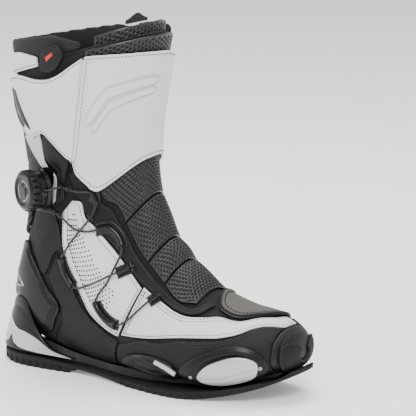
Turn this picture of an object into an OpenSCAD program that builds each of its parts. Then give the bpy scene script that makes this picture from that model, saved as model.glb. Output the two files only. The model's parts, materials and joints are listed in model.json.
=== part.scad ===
// Right-foot motorcycle touring boot with a rotary lace dial and a wrap-round shin flap.
// +X points to the toe, -Y is the outer (lateral) side, +Z is up, z = 0 is the tread.

/* [Overall] */
// Length of the body over heel and toe (mm)
boot_length = 305; // [260:1:340]
// Height of the shaft at the front (mm)
boot_height = 304; // [260:1:340]
// Width across the ball of the foot (mm)
ball_width = 100; // [90:1:112]

/* [Sole] */
// Rise of the tread at the toe (mm)
toe_spring = 25; // [18:0.5:28]
// Hollow under the arch (mm)
arch_rise = 5; // [2:0.5:6]
// Depth of the cross ribs of the tread (mm)
tread_depth = 1.2; // [0.6:0.1:2]
// Gap between outsole, midsole and upper (mm)
sole_gap = 0.4; // [0.3:0.1:0.6]

/* [Upper] */
// Thickness of the padded lining (mm)
liner_t = 2.0; // [1.2:0.1:2.4]
// Thickness of the base shell (mm)
shell_t = 2.2; // [1.4:0.1:2.4]
// Thickness of the sewn panels (mm)
panel_t = 1.6; // [1:0.1:1.8]
// Thickness of the shin flap and calf wing (mm)
plate_t = 2.0; // [1.4:0.1:2.6]
// Clearance between two layers (mm)
layer_gap = 0.3; // [0.2:0.05:0.4]

/* [Dial] */
// Radius of the dial knob (mm)
knob_r = 18; // [14:0.5:20]
// Height of the dial knob (mm)
knob_h = 9.5; // [7:0.5:12]
// Grip notches on the knob
knob_notches = 20; // [12:1:28]
// Radius of the lace spool (mm)
spool_r = 12; // [9:0.5:13]
// Running clearance inside the dial (mm)
dial_clear = 0.4; // [0.3:0.05:0.6]
// Thickness of the lace (mm)
lace_d = 1.8; // [1.2:0.1:2]
// Play of the lace inside its guides (mm)
lace_play = 0.5; // [0.3:0.1:0.6]

/* [View] */
// Node to draw

/* [Hidden] */
$fn = 32;
kx = boot_length / 305;
kz = boot_height / 304;
ky = ball_width / 100;

// body stations from the toe to the collar:
// front x, front z, back x, back z, split, centre y, lateral, medial, front power, back power
ST = [
  [146, 42, 146, 36, .50, 6, 3, 3, 2.0, 2.0],
  [143, 52, 141, 29, .45, 6, 20, 19, 2.1, 2.4],
  [132, 61, 131, 24, .42, 5, 35, 31, 2.2, 2.8],
  [113, 68, 113, 19, .40, 4, 46, 39, 2.1, 3.0],
  [90, 72, 91, 14, .38, 2, 52, 44, 2.0, 3.2],
  [66, 83, 62, 11, .36, 0, 54, 45, 1.9, 3.2],
  [44, 101, 28, 10, .34, 0, 52, 42, 1.9, 3.0],
  [27, 119, -14, 10, .34, 0, 47, 39, 1.9, 2.8],
  [13, 141, -57, 12, .37, 0, 41, 37, 2.0, 2.6],
  [5, 166, -98, 16, .41, 0, 37, 36, 2.1, 2.4],
  [1, 190, -130, 32, .43, 0, 38, 37, 2.2, 2.3],
  [0, 211, -136, 66, .46, 0, 39, 39, 2.2, 2.2],
  [0, 229, -127, 100, .48, 0, 42, 41, 2.2, 2.2],
  [2, 245, -120, 134, .50, 0, 45, 44, 2.2, 2.2],
  [4, 260, -119, 168, .50, 0, 48, 47, 2.2, 2.2],
  [6, 274, -122, 202, .50, 0, 51, 50, 2.2, 2.2],
  [9, 289, -127, 236, .50, 0, 54, 52, 2.2, 2.2],
  [12, 304, -132, 268, .50, 0, 56, 54, 2.2, 2.2],
  [13, 316, -136, 292, .50, 0, 57, 55, 2.2, 2.2]
];
// outline of the sole from heel to toe: x, lateral width, medial width
SO = [
  [-152.5, 3, 3], [-149, 15, 15], [-140, 26, 25.5], [-122, 34, 33], [-98, 36.5, 35.5],
  [-68, 36, 34], [-35, 38.5, 31], [0, 47, 31], [32, 54, 37], [60, 55.5, 43], [90, 48, 44],
  [117, 37.5, 38.5], [136, 26, 30.5], [148, 12, 21], [153, -2, 12]
];
// level of the underside of the upper: x, z
UB = [[-160, 14.6], [-98, 14.6], [-57, 12], [-14, 10], [28, 10], [62, 11], [91, 14], [113, 19],
  [131, 24], [141, 29], [146, 33], [160, 36]];

function clampi(v, n) = max(0, min(n, v));
// smooth curve through the rows of a table
function curve(T, t) =
  let (n = len(T) - 1, i = clampi(floor(t), n - 1), f = t - i,
    a = T[clampi(i - 1, n)], b = T[i], c = T[i + 1], d = T[clampi(i + 2, n)])
  0.5 * (2 * b + (c - a) * f + (2 * a - 5 * b + 4 * c - d) * f * f
    + (3 * b - a - 3 * c + d) * f * f * f);
function sect(r, a) =
  let (dx = r[0] - r[2], dz = r[1] - r[3], l = norm([dx, dz]), c = cos(a), s = sin(a),
    ra = c > 0 ? l * (1 - r[4]) : l * r[4], rb = s > 0 ? r[6] : r[7],
    p = r[8] + (r[9] - r[8]) * (1 - c) / 2,
    q = pow(pow(abs(c / ra), p) + pow(abs(s / rb), p), -1 / p))
  [kx * (r[2] + r[4] * dx + q * c * dx / l), ky * (r[5] - q * s),
    kz * (r[3] + r[4] * dz + q * c * dz / l)];
// point of the body surface at station t and angle a (0 front, 90 lateral, 180 back or sole)
function P(t, a) = sect(curve(ST, t), a);
// outward normal there
function N(t, a) =
  let (u = P(t + .02, a) - P(t - .02, a), v = P(t, a + 1) - P(t, a - 1), w = cross(u, v))
  w / norm(w);
// point at height h above the surface
function Q(t, a, h) = P(t, a) + h * N(t, a);
function under_z(x) = kz * lookup(x / kx, UB);
function tread_z(x0) =
  let (x = x0 / kx)
  x > 50 ? toe_spring * pow((x - 50) / 103, 2)
  : x < -125 ? 5 * pow((-125 - x) / 27.5, 2)
  : x < -66 || x > 0 ? 0
  : arch_rise * min(1, (x + 66) / 5) * pow(-x / 61, .7);

// faces of a closed solid from an outer and an inner grid of n by m cells
function tri2(a, b, c, d, flip) = flip ? [[a, c, b], [a, d, c]] : [[a, b, c], [a, c, d]];
function ix(i, j, m) = i * (m + 1) + j;
function grid_faces(n, m, flip) =
  let (o = (n + 1) * (m + 1))
  concat(
    [for (i = [0 : n - 1], j = [0 : m - 1])
      each tri2(ix(i, j, m), ix(i + 1, j, m), ix(i + 1, j + 1, m), ix(i, j + 1, m), !flip)],
    [for (i = [0 : n - 1], j = [0 : m - 1])
      each tri2(o + ix(i, j, m), o + ix(i + 1, j, m), o + ix(i + 1, j + 1, m),
        o + ix(i, j + 1, m), flip)],
    [for (i = [0 : n - 1])
      each tri2(ix(i, 0, m), ix(i + 1, 0, m), o + ix(i + 1, 0, m), o + ix(i, 0, m), flip)],
    [for (i = [0 : n - 1])
      each tri2(ix(i, m, m), ix(i + 1, m, m), o + ix(i + 1, m, m), o + ix(i, m, m), !flip)],
    [for (j = [0 : m - 1])
      each tri2(ix(0, j, m), ix(0, j + 1, m), o + ix(0, j + 1, m), o + ix(0, j, m), !flip)],
    [for (j = [0 : m - 1])
      each tri2(ix(n, j, m), ix(n, j + 1, m), o + ix(n, j + 1, m), o + ix(n, j, m), flip)]
  );

// panel between two edges: rows of [t, a, t, a], from height h0 to h1, crowned by k
module panel(rows, h0, h1, n, m, k = 0) {
  s = [for (i = [0 : n]) curve(rows, i * (len(rows) - 1) / n)];
  ta = [for (i = [0 : n], j = [0 : m])
    [s[i][0] + (s[i][2] - s[i][0]) * j / m, s[i][1] + (s[i][3] - s[i][1]) * j / m,
      sin(180 * i / n) * sin(180 * j / m)]];
  pts = concat([for (q = ta) Q(q[0], q[1], h1 + k * q[2])], [for (q = ta) Q(q[0], q[1], h0)]);
  c = floor(n / 2) * (m + 1) + floor(m / 2);
  w = cross(pts[c + m + 1] - pts[c], pts[c + 1] - pts[c]);
  polyhedron(pts, grid_faces(n, m, w * (pts[c] - pts[c + len(ta)]) < 0));
}

// panel inside a ring of [t, a] points about a centre
module island(mid, ring, h0, h1, rings = 2, k = 0, sub = 2) {
  q = len(ring) * sub;
  edge = [for (i = [0 : q - 1]) let (f = i / sub, b = floor(f), g = f - b, L = len(ring))
    let (p0 = ring[(b + L - 1) % L], p1 = ring[b], p2 = ring[(b + 1) % L], p3 = ring[(b + 2) % L])
    0.5 * (2 * p1 + (p2 - p0) * g + (2 * p0 - 5 * p1 + 4 * p2 - p3) * g * g
      + (3 * p1 - p0 - 3 * p2 + p3) * g * g * g)];
  top = concat([[mid[0], mid[1], 0]], [for (r = [1 : rings], e = edge)
    [mid[0] + (e[0] - mid[0]) * r / rings, mid[1] + (e[1] - mid[1]) * r / rings, r / rings]]);
  o = len(top);
  pts = concat([for (e = top) Q(e[0], e[1], h1 + k * (1 - e[2] * e[2]))],
    [for (e = top) Q(e[0], e[1], h0)]);
  w = cross(pts[1] - pts[0], pts[2] - pts[0]);
  f = w * (pts[0] - pts[o]) > 0;
  polyhedron(pts, concat(
    [for (i = [0 : q - 1]) let (a = 1 + i, b = 1 + (i + 1) % q) f ? [0, b, a] : [0, a, b]],
    [for (i = [0 : q - 1]) let (a = o + 1 + i, b = o + 1 + (i + 1) % q) f ? [o, a, b] : [o, b, a]],
    [for (r = [0 : rings - 2], i = [0 : q - 1])
      let (a = 1 + r * q + i, b = 1 + r * q + (i + 1) % q) each tri2(a, b, b + q, a + q, !f)],
    [for (r = [0 : rings - 2], i = [0 : q - 1])
      let (a = o + 1 + r * q + i, b = o + 1 + r * q + (i + 1) % q) each tri2(a, b, b + q, a + q, f)],
    [for (i = [0 : q - 1])
      let (a = 1 + (rings - 1) * q + i, b = 1 + (rings - 1) * q + (i + 1) % q)
      each tri2(a, b, b + o, a + o, !f)]));
}

// closed sleeve round the body from station ta to tb; closed at the start when cap is set
module sleeve(ta, tb, h0, h1, n, m, cap = false) {
  t0 = cap ? ta + .35 : ta;
  pts = concat([for (i = [0 : n], j = [0 : m - 1]) Q(ta + (tb - ta) * i / n, 360 * j / m, h1)],
    [for (i = [0 : n], j = [0 : m - 1]) Q(t0 + (tb - t0) * i / n, 360 * j / m, h0)],
    [P(ta, 0) / 2 + P(ta, 180) / 2, P(t0, 0) / 2 + P(t0, 180) / 2]);
  o = (n + 1) * m;
  e = 2 * o;
  polyhedron(pts, concat(
    [for (i = [0 : n - 1], j = [0 : m - 1]) let (k = (j + 1) % m)
      each tri2(i * m + j, (i + 1) * m + j, (i + 1) * m + k, i * m + k, true)],
    [for (i = [0 : n - 1], j = [0 : m - 1]) let (k = (j + 1) % m)
      each tri2(o + i * m + j, o + (i + 1) * m + j, o + (i + 1) * m + k, o + i * m + k, false)],
    [for (j = [0 : m - 1]) let (k = (j + 1) % m, a = n * m)
      each tri2(a + j, a + k, o + a + k, o + a + j, false)],
    cap ? [for (j = [0 : m - 1]) [e, (j + 1) % m, j]]
    : [for (j = [0 : m - 1]) let (k = (j + 1) % m) each tri2(j, k, o + k, o + j, true)],
    cap ? [for (j = [0 : m - 1]) [e + 1, o + j, o + (j + 1) % m]] : []));
}

// sole rows across, from the heel to the toe
sole_n = 76;
function out_at(i, n) = let (u = 14 * i / n) curve(SO, u);

// sections of the sole: z of the bottom, z of the top, inset of the bottom and of the top
module outsole() {
  g = [for (i = [0 : sole_n]) out_at(i, sole_n)];
  rib = [for (i = [0 : sole_n]) i % 4 > 1 ? 0 : 1];
  pts = [for (i = [0 : sole_n])
    let (x = g[i][0] * kx, yl = -g[i][1] * ky, ym = g[i][2] * ky, a = tread_z(x),
      b = under_z(x) - panel_t - sole_gap - 2.6 - max(0, min(2, (x - 124) * .16)),
      r = rib[i] * tread_depth,
      e = min(2.5, (ym - yl) / 4))
    each [[x, yl + e, b], [x, yl + .5 * rib[i], b - 1.5], [x, yl + .6 * rib[i], a + 2],
      [x, yl + e + .8, a + r], [x, (yl + ym) / 2, a + r], [x, ym - e - .8, a + r],
      [x, ym - .6 * rib[i], a + 2], [x, ym - .5 * rib[i], b - 1.5], [x, ym - e, b]]];
  m = 9;
  color([.06, .06, .065]) polyhedron(pts, concat(
    [for (i = [0 : sole_n - 1], j = [0 : m - 1]) let (k = (j + 1) % m)
      each tri2(i * m + j, i * m + k, (i + 1) * m + k, (i + 1) * m + j, true)],
    [for (j = [1 : m - 2]) [0, j, j + 1]],
    [for (j = [1 : m - 2]) [sole_n * m, sole_n * m + j + 1, sole_n * m + j]]));
}

// board that fills the space between the flat outsole and the rounded upper
module midsole() {
  n = 18;
  m = 8;
  w = [[1.8, 48], [3, 50], [5, 50], [6.6, 47], [7.4, 34], [8.2, 24], [8.9, 20], [9.4, 13]];
  q = [for (i = [0 : n], j = [0 : m]) let (e = curve(w, i * 7 / n))
    [e[0], 180 + e[1] * (2 * j / m - 1)]];
  top = [for (e = q) Q(e[0], e[1], p1 + layer_gap + .9)];
  low = [for (p = top) [p[0], p[1], min(p[2] - .6, under_z(p[0]) - panel_t - 2.6)]];
  color([.1, .1, .1]) polyhedron(concat(top, low), grid_faces(n, m, false));
}

// removable insole
module footbed() {
  color([.12, .12, .13]) panel([[2.0, 134, 2.0, 226], [3, 136, 3, 224], [5, 138, 5, 222],
    [7, 140, 7, 220], [8.4, 146, 8.4, 214], [9.2, 156, 9.2, 204]], l0 - 5.2, l0 - 2.2, 12, 4);
}

// wall that leans from the outline of the sole to the upper
WALL = [[5.3, 8.35, 158], [4.6, 8.8, 155], [3.6, 9.5, 150], [2.6, 10.05, 150], [1.6, 10.45, 158],
  [.8, 10.6, 169], [0, 10.65, 180], [-.8, 10.6, 191], [-1.6, 10.45, 202], [-2.6, 10.05, 210],
  [-3.6, 9.5, 210], [-4.6, 8.8, 205], [-5.3, 8.35, 202]];
wall_z = 13.4;
function wall_low(u) = let (o = curve(SO, abs(u)))
  [kx * o[0], u >= 0 ? -ky * o[1] * (u == 0 ? 0 : 1) : ky * o[2], wall_z];
function wall_pt(w, v, d) =
  let (b = wall_low(w[0]), t = Q(w[1], w[2], panel_t + layer_gap + 1.6),
    c = [-70 * kx, 0, wall_z], o = (b - c) / norm(b - c))
  b + (t - b) * v + o * d;
module wall(spans, d0, d1, n) {
  s = [for (i = [0 : n]) curve(spans, i * (len(spans) - 1) / n)];
  pts = concat([for (e = s, v = [0, .5, 1]) wall_pt(curve(WALL, e[0]), e[1] + (e[2] - e[1]) * v, d1)],
    [for (e = s, v = [0, .5, 1]) wall_pt(curve(WALL, e[0]), e[1] + (e[2] - e[1]) * v, d0)]);
  polyhedron(pts, grid_faces(n, 2, true));
}
module heel_cup() {
  color([.07, .07, .075]) wall([[0, 0, .15], [1, 0, .35], [2, 0, .7], [3, 0, .95], [4, 0, 1],
    [5, 0, 1], [6, 0, 1], [7, 0, 1], [8, 0, 1], [9, 0, .95], [10, 0, .7], [11, 0, .35],
    [12, 0, .15]], -2.2, 0, 36);
}
module heel_insert() {
  color([.78, .78, .79]) wall([[.1, .06, .12], [.6, .05, .3], [1.3, .05, .5], [2, .1, .68],
    [2.6, .2, .78], [3.2, .3, .86], [3.8, .3, .93], [4.2, .45, .97]], layer_gap, 2, 18);
}

module foot_liner() {
  color([.1, .1, .1]) sleeve(1.2, 8.0, l0, l1, 11, 24, true);
}
module ankle_liner() {
  color([.1, .1, .1]) sleeve(8.05, 12.5, l0, l1, 7, 24);
}
module shaft_liner() {
  color([.1, .1, .1]) sleeve(12.85, 16.9, l0, l1, 5, 24);
}
module foot_shell() {
  color([.13, .13, .13]) sleeve(.6, 8.9, s0, s1, 13, 24, true);
}
module ankle_shell() {
  color([.13, .13, .13]) sleeve(8.95, 12.75, s0, s1, 8, 24);
}
module shaft_shell() {
  color([.13, .13, .13]) sleeve(12.8, 16.75, s0, s1, 6, 24);
}

// heights of the layers over the body surface
p0 = -.4;
p1 = p0 + panel_t;
o0 = p1 + layer_gap;
o1 = o0 + 1.6;
f0 = o1 + layer_gap;
f1 = f0 + plate_t;
s1 = p0 - layer_gap - .4;
s0 = s1 - shell_t;
l1 = s0 - layer_gap - .7;
l0 = l1 - liner_t;

module toe_cap() {
  color([.07, .07, .07]) sleeve(.1, 1.82, p0, p1, 5, 32, true);
}
module toe_bumper() {
  color([.09, .09, .09]) panel([[.35, 40, .35, 300], [.8, 48, .8, 300], [1.2, 60, 1.2, 298],
    [1.5, 72, 1.5, 290]], o0, o0 + 2.6, 5, 22);
}
module rand_lateral() {
  color([.07, .07, .07]) panel([[7.05, 104, 7.05, 133], [6.5, 89, 6.5, 130], [6, 85, 6, 127],
    [5.1, 76, 5.1, 125], [4.4, 73, 4.4, 124], [3.8, 70, 3.8, 124], [3.2, 64, 3.2, 124],
    [2.65, 48, 2.5, 126], [1.9, 24, 1.9, 130]], p0, p1, 18, 5);
}
module rand_medial() {
  color([.07, .07, .07]) panel([[1.9, -36, 1.9, -130], [2.5, -48, 2.5, -126],
    [3.2, -76, 3.2, -124], [3.8, -94, 3.8, -124], [4.6, -97, 4.6, -124], [5.4, -90, 5.4, -125]],
    p0, p1, 12, 5);
}
module vamp() {
  color([.82, .82, .83]) panel([[7.05, 92, 6.98, 41], [6.7, 88, 6.5, 45], [6.1, 82, 6.05, 49],
    [5.6, 77, 5.6, 52.5], [5.1, 73, 5.15, 53], [4.5, 70, 4.6, 48], [3.8, 67, 4.2, 42],
    [3.2, 61, 3.45, 42], [2.65, 44, 2.95, 22], [2, 22, 2.62, 2], [1.9, -5, 2.55, -12],
    [1.95, -34, 2.5, -32]], p0, p1, 24, 4);
}
module shift_pad() {
  color([.35, .35, .36]) island([4, -28], [[4.95, -8], [4.7, 14], [4.35, 31], [3.6, 37],
    [3.05, 22], [2.75, -2], [2.65, -35], [2.95, -66], [3.6, -86], [4.5, -90], [5.15, -78],
    [5.35, -52], [4.98, -28]], o0, o0 + 1.4, 3, .6);
}
module slider_bezel() {
  color([.08, .08, .08]) island([3.6, 98], [[5.1, 104], [4.7, 90], [4, 80], [3.2, 76], [2.5, 80],
    [2.05, 92], [2.1, 106], [2.8, 117], [3.7, 119], [4.6, 117]], o0, o0 + 2.6, 3, .8);
}
module slider_plate() {
  color([.8, .8, .81]) island([3.45, 98], [[4.5, 103], [4.1, 92], [3.4, 86], [2.75, 87],
    [2.4, 94], [2.6, 106], [3.3, 112], [4.1, 111]], o0 + 3.9, o0 + 6, 3, .6);
}
// head of a countersunk screw lying on the body surface
module screw_at(t, a, h, r, l) {
  n = N(t, a);
  c = Q(t, a, h);
  translate(c) rotate([0, acos(n[2]), atan2(n[1], n[0])]) difference() {
    cylinder(h = l, r = r, $fn = 20);
    translate([0, 0, l - .8]) cylinder(h = 2, r = r * .5, $fn = 6);
  }
}
module slider_screws() {
  color([.3, .3, .32]) {
    screw_at(4.72, 104, o0 + 2.9, 1.7, 1.4);
    screw_at(2.32, 98, o0 + 2.9, 1.7, 1.4);
  }
}
module ball_pod() {
  color([.08, .08, .08]) island([6.1, 110], [[6.85, 122], [6.7, 108], [6.3, 100], [5.7, 97],
    [5.3, 101], [5.25, 112], [5.5, 121], [6.2, 125]], o0, o0 + 2.4, 3, 1);
}
module ball_insert() {
  color([.75, .75, .76]) panel([[6.15, 107, 6.05, 103], [5.8, 105, 5.72, 100.5],
    [5.5, 106, 5.42, 102]], o0 + 3.9, o0 + 5.1, 6, 2);
}
module heel_counter() {
  color([.09, .09, .09]) panel([[9.3, 124, 9.95, 123], [9.12, 130, 10.3, 127],
    [9.1, 140, 11, 140], [9.05, 150, 11.75, 150], [9.3, 162, 12.1, 162], [9.7, 180, 12.15, 180],
    [9.3, 198, 12.1, 198], [9.05, 210, 11.75, 210], [9.1, 220, 11, 220],
    [9.12, 230, 10.3, 233], [9.3, 236, 9.95, 237]], p0, p1 + .6, 24, 6);
}
module heel_reflector() {
  color([.5, .5, .52]) panel([[10.75, 166, 10.9, 162], [10.72, 172, 11, 171],
    [10.7, 180, 11.05, 180], [10.72, 188, 11, 189], [10.75, 194, 10.9, 198]],
    o0 + .6, o0 + 1.8, 12, 2);
}
module quarter_lateral() {
  color([.1, .1, .1]) panel([[10.2, 88, 9.95, 112], [9.7, 86, 9.4, 120.5], [9.1, 95, 9, 128],
    [8.5, 100, 8.6, 150], [8, 102, 8, 156], [7.4, 101, 7.45, 150], [7.1, 100, 7.1, 136]],
    p0, p1, 16, 8);
}
module quarter_medial() {
  color([.1, .1, .1]) panel([[5.5, -90, 5.5, -125], [6.2, -94, 6.2, -130],
    [7.2, -97, 7.2, -148], [8.2, -98, 8.4, -156], [8.9, -100, 9, -130], [9.5, -103, 9.4, -119],
    [9.95, -106, 9.9, -114]], p0, p1, 18, 8);
}
module ankle_panel_lateral() {
  color([.12, .12, .12]) panel([[10.05, 78, 10.25, 76], [10.3, 87, 10.8, 83],
    [10.3, 100, 11.6, 100], [10.15, 114, 12, 113], [10.25, 124, 12.3, 126],
    [10.9, 134.5, 12.5, 136], [11.6, 143, 12.4, 144]], p0, p1, 14, 6);
}
module ankle_panel_medial() {
  color([.12, .12, .12]) panel([[10.1, -108, 10.4, -108], [10.15, -116, 11.2, -118],
    [10.25, -124, 12, -128], [10.9, -134.5, 12.4, -138], [11.6, -143, 12.4, -146]],
    p0, p1, 12, 5);
}
// ribbed bellows over the heel tendon
module achilles_ribs() {
  color([.08, .08, .08]) for (i = [0 : 3])
    panel([[12.4 + .22 * i, 148, 12.56 + .22 * i, 148], [12.4 + .22 * i, 180, 12.56 + .22 * i, 180],
      [12.4 + .22 * i, 212, 12.56 + .22 * i, 212]], p0 + .3, p1 + .4, 12, 2);
}
module perforated_panel() {
  color([.8, .8, .81]) panel([[11.25, 79, 11.3, 62], [10.9, 77, 10.9, 46],
    [10.3, 75, 10.3, 39], [9.85, 74, 9.85, 33.5], [9.3, 81, 9.3, 31.5], [8.7, 90, 8.7, 31],
    [8.2, 97, 8.2, 32.5], [7.6, 98, 7.6, 36.5], [7.15, 96, 7.05, 42.5]], p0, p1, 20, 7);
}
module medial_panel() {
  color([.82, .82, .83]) panel([[4.95, -44, 5.1, -52], [5.5, -41, 5.5, -86],
    [6.4, -41, 6.4, -92], [7.4, -40, 7.4, -95], [8.6, -38, 8.6, -97], [9.8, -38, 9.8, -104],
    [10.8, -41, 10.8, -112], [12, -44, 12, -124], [13.2, -46, 13.2, -128],
    [14.4, -46, 14.4, -128], [15.6, -46, 15.6, -128], [16.5, -46, 16.5, -128]],
    p0, p1, 26, 6);
}
MESH_L = [[11.3, 27], [10.6, 26], [9.8, 19], [8.8, 18.5], [7.8, 22], [6.8, 28], [5.9, 37],
  [5.2, 42], [4.95, 36]];
module mesh_part(a, b, ta, tb, k = 2.4) {
  n = 5;
  panel([for (i = [0 : n]) let (u = a + (b - a) * i / n, e = curve(MESH_L, u),
    t = ta + (tb - ta) * i / n) [t, e[1], t, -min(e[1], 27)]], p0, p1 + min(.6, k), 6, 6, k);
}
module instep_mesh_1() {
  color([.1, .1, .1]) mesh_part(.4, 3, 10.9, 8.92, 0);
}
module instep_mesh_2() {
  color([.1, .1, .1]) mesh_part(3, 4.5, 8.86, 7.36);
}
module instep_mesh_3() {
  color([.1, .1, .1]) {
    mesh_part(4.5, 5.5, 7.3, 6.4);
    mesh_part(5.5, 8, 6.34, 5.12);
  }
}
// leather strip that runs from the support arm down and round the end of the mesh
module instep_border() {
  color([.08, .08, .08]) panel([[12.6, 84, 12.4, 70], [12, 70, 11.8, 54], [11.4, 57, 11.3, 42],
    [10.9, 44.5, 10.8, 31], [10.3, 37.5, 10.2, 26], [9.8, 32, 9.7, 21.5], [9.2, 30, 9.2, 21],
    [8.7, 29.5, 8.7, 21], [8.2, 31, 8.2, 23], [7.6, 35, 7.6, 26.5], [7, 40, 7, 31],
    [6.5, 43.5, 6.5, 35.5], [6.05, 47.5, 6.1, 39.5], [5.6, 50.5, 5.7, 43], [5.15, 51, 5.25, 45],
    [4.8, 44, 5, 38.5], [4.62, 26, 4.88, 26]], p0, p1, 34, 2);
}
// tube of the lace through a list of [t, a, h] points
module cord(pts, r, sub = 2) {
  n = (len(pts) - 1) * sub;
  s = [for (i = [0 : n]) curve(pts, i / sub)];
  c = [for (e = s) Q(e[0], e[1], e[2])];
  m = 6;
  ring = [for (i = [0 : n]) let (d = c[min(n, i + 1)] - c[max(0, i - 1)], u = d / norm(d),
    a = cross(u, N(s[i][0], s[i][1])), x = a / norm(a), y = cross(u, x))
    each [for (j = [0 : m - 1]) c[i] + r * (x * cos(60 * j) + y * sin(60 * j))]];
  polyhedron(ring, concat(
    [for (i = [0 : n - 1], j = [0 : m - 1]) let (k = (j + 1) % m)
      each tri2(i * m + j, (i + 1) * m + j, (i + 1) * m + k, i * m + k, true)],
    [[for (j = [0 : m - 1]) m - 1 - j]], [[for (j = [0 : m - 1]) n * m + j]]));
}

// the two runs of the lace: [t, a, h]
LACE_A = [[12.67, 111, 16], [12.59, 105.5, 17.4], [12.5, 99.5, 16], [12.36, 91, 10.8],
  [12.18, 83, 6.8], [11.9, 72, 5.3], [11.4, 52, 3.8], [11, 38, 3.9], [10.6, 31, 3.9],
  [10.3, 29, 3.9], [10.1, 33, 4.2], [10.05, 44, 5.2], [10.05, 58, 4.4], [10, 70, 4],
  [9.95, 78, 3.9], [9.65, 83, 4], [9.35, 86, 4], [9.1, 87, 4], [8.9, 82, 3.6], [8.7, 70, 3.2],
  [8.4, 55, 4.8], [8.15, 45, 5.2], [7.85, 36, 4.3], [7.65, 31, 3.9]];
LACE_B = [[12.3, 117, 14.3], [12.14, 113.8, 15.2], [11.97, 109.5, 14.5], [11.75, 101, 10.2],
  [11.45, 88.5, 6.3], [11.12, 77, 5], [10.6, 60, 3.2], [10.1, 45, 3], [9.75, 36, 3.4],
  [9.4, 27, 3.9], [9, 24.5, 3.9], [8.6, 25, 3.9], [8.3, 29, 3.6], [8.2, 40, 3], [8.15, 52, 3],
  [8.2, 66, 3.2], [8.15, 77, 3.9], [7.9, 83, 4], [7.55, 85.5, 4], [7.25, 84, 4], [7.05, 77, 3.4],
  [6.85, 66, 3], [6.65, 55, 3], [6.4, 46, 3.6], [6.28, 43, 3.9]];
module lace() {
  color([.04, .04, .04]) {
    cord(LACE_A, lace_d / 2);
    cord(LACE_B, lace_d / 2);
  }
}
// round sleeve that the lace runs through, from point a to point b of its path
module hose(L, a, b, ro, ri) {
  n = (b - a) * 2;
  m = 10;
  e = [for (i = [-1 : n + 1]) curve(L, a + i / 2)];
  c = [for (q = e) Q(q[0], q[1], q[2])];
  ring = function (r) [for (i = [1 : n + 1]) let (d = c[i + 1] - c[i - 1], u = d / norm(d),
    w = cross(u, N(e[i][0], e[i][1])), x = w / norm(w), y = cross(u, x))
    each [for (j = [0 : m - 1]) c[i] + r * (x * cos(j * 360 / m) + y * sin(j * 360 / m))]];
  o = (n + 1) * m;
  polyhedron(concat(ring(ro), ring(ri)), concat(
    [for (i = [0 : n - 1], j = [0 : m - 1]) let (k = (j + 1) % m)
      each tri2(i * m + j, (i + 1) * m + j, (i + 1) * m + k, i * m + k, true)],
    [for (i = [0 : n - 1], j = [0 : m - 1]) let (k = (j + 1) % m)
      each tri2(o + i * m + j, o + (i + 1) * m + j, o + (i + 1) * m + k, o + i * m + k, false)],
    [for (j = [0 : m - 1]) let (k = (j + 1) % m) each tri2(j, k, o + k, o + j, true)],
    [for (j = [0 : m - 1]) let (k = (j + 1) % m, q = n * m)
      each tri2(q + j, q + k, o + q + k, o + q + j, false)]));
}
module lace_guide_bar() {
  color([.05, .05, .05]) hose(LACE_A, 14, 17, 2.3, lace_d / 2 + lace_play);
}
module lace_guide_hook() {
  color([.05, .05, .05]) hose(LACE_B, 16, 19, 2.3, lace_d / 2 + lace_play);
}
module front_guide(L, a, b) {
  color([.07, .07, .07]) hose(L, a, b, 2.3, lace_d / 2 + lace_play);
}
module lace_guide_front_1() {
  front_guide(LACE_A, 7.5, 10);
}
module lace_guide_front_2() {
  front_guide(LACE_B, 8.5, 11.5);
}
module lace_guide_front_3() {
  front_guide(LACE_A, 21.5, 22.5);
  front_guide(LACE_B, 22.5, 23.5);
}

module calf_panel() {
  color([.08, .08, .08]) panel([[13.35, 130, 16.4, 132], [13.3, 145, 16.5, 146],
    [13.3, 163, 16.6, 163], [13.3, 180, 16.6, 180], [13.3, 197, 16.6, 197],
    [13.3, 215, 16.5, 214], [13.35, 230, 16.4, 230]], p0, p1, 12, 6);
}
module calf_wing() {
  color([.82, .82, .83]) panel([[15.95, 157, 16.5, 158], [15.6, 150, 16.65, 150],
    [15.1, 142, 16.65, 141], [14.72, 133, 16.6, 133], [14.7, 125, 16.5, 125],
    [14.6, 116, 16.35, 115], [14.15, 107, 16.25, 106], [13.65, 97, 16.2, 97],
    [13.25, 88, 16.25, 86], [13, 80.5, 16.45, 72], [12.85, 77.5, 16.6, 63.5]], f0, f1, 20, 6);
}
module calf_graphic() {
  color([.15, .15, .15]) for (i = [0 : 2])
    panel([[16.4 - .12 * i, 145 - 5 * i, 16.4 - .12 * i, 142 - 5 * i],
      [15.8 - .1 * i, 140 - 4.5 * i, 15.8 - .1 * i, 137 - 4.5 * i],
      [15.2, 131 - 3 * i, 15.2, 129.5 - 3 * i]], f1 + .2, f1 + .7, 8, 1);
}
module support_arm() {
  color([.09, .09, .09]) panel([[14.65, 119, 14.58, 112], [14.3, 121.5, 14.2, 106],
    [13.9, 121, 13.8, 99], [13.5, 115, 13.4, 91], [13.1, 105, 13, 84], [12.7, 101, 12.65, 86],
    [12.4, 100, 12.3, 86], [12.1, 99, 12, 83], [11.8, 96, 11.7, 80]], o0, o1, 20, 4);
}
module support_tail() {
  color([.8, .8, .8]) panel([[14.5, 133, 14.45, 124.5], [13.9, 129, 13.85, 124],
    [13.5, 124, 13.45, 118.5], [13.1, 117, 13.05, 108], [12.7, 111.5, 12.68, 104],
    [12.3, 107, 12.3, 102.5]], o0, o1 - .4, 14, 2);
}
module upper_guide() {
  color([.06, .06, .06]) {
    hose(LACE_A, 3.5, 5, 2.1, lace_d / 2 + lace_play);
    hose(LACE_B, 3.5, 5, 2.1, lace_d / 2 + lace_play);
  }
}
module tongue() {
  color([.1, .1, .1]) panel([for (a = [-60 : 15 : 60]) [13.4, a, 17.7 - .3 * pow(a / 60, 2), a]],
    l0 - 4.6, l0 - 1.4, 10, 6, .5);
}
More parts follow.
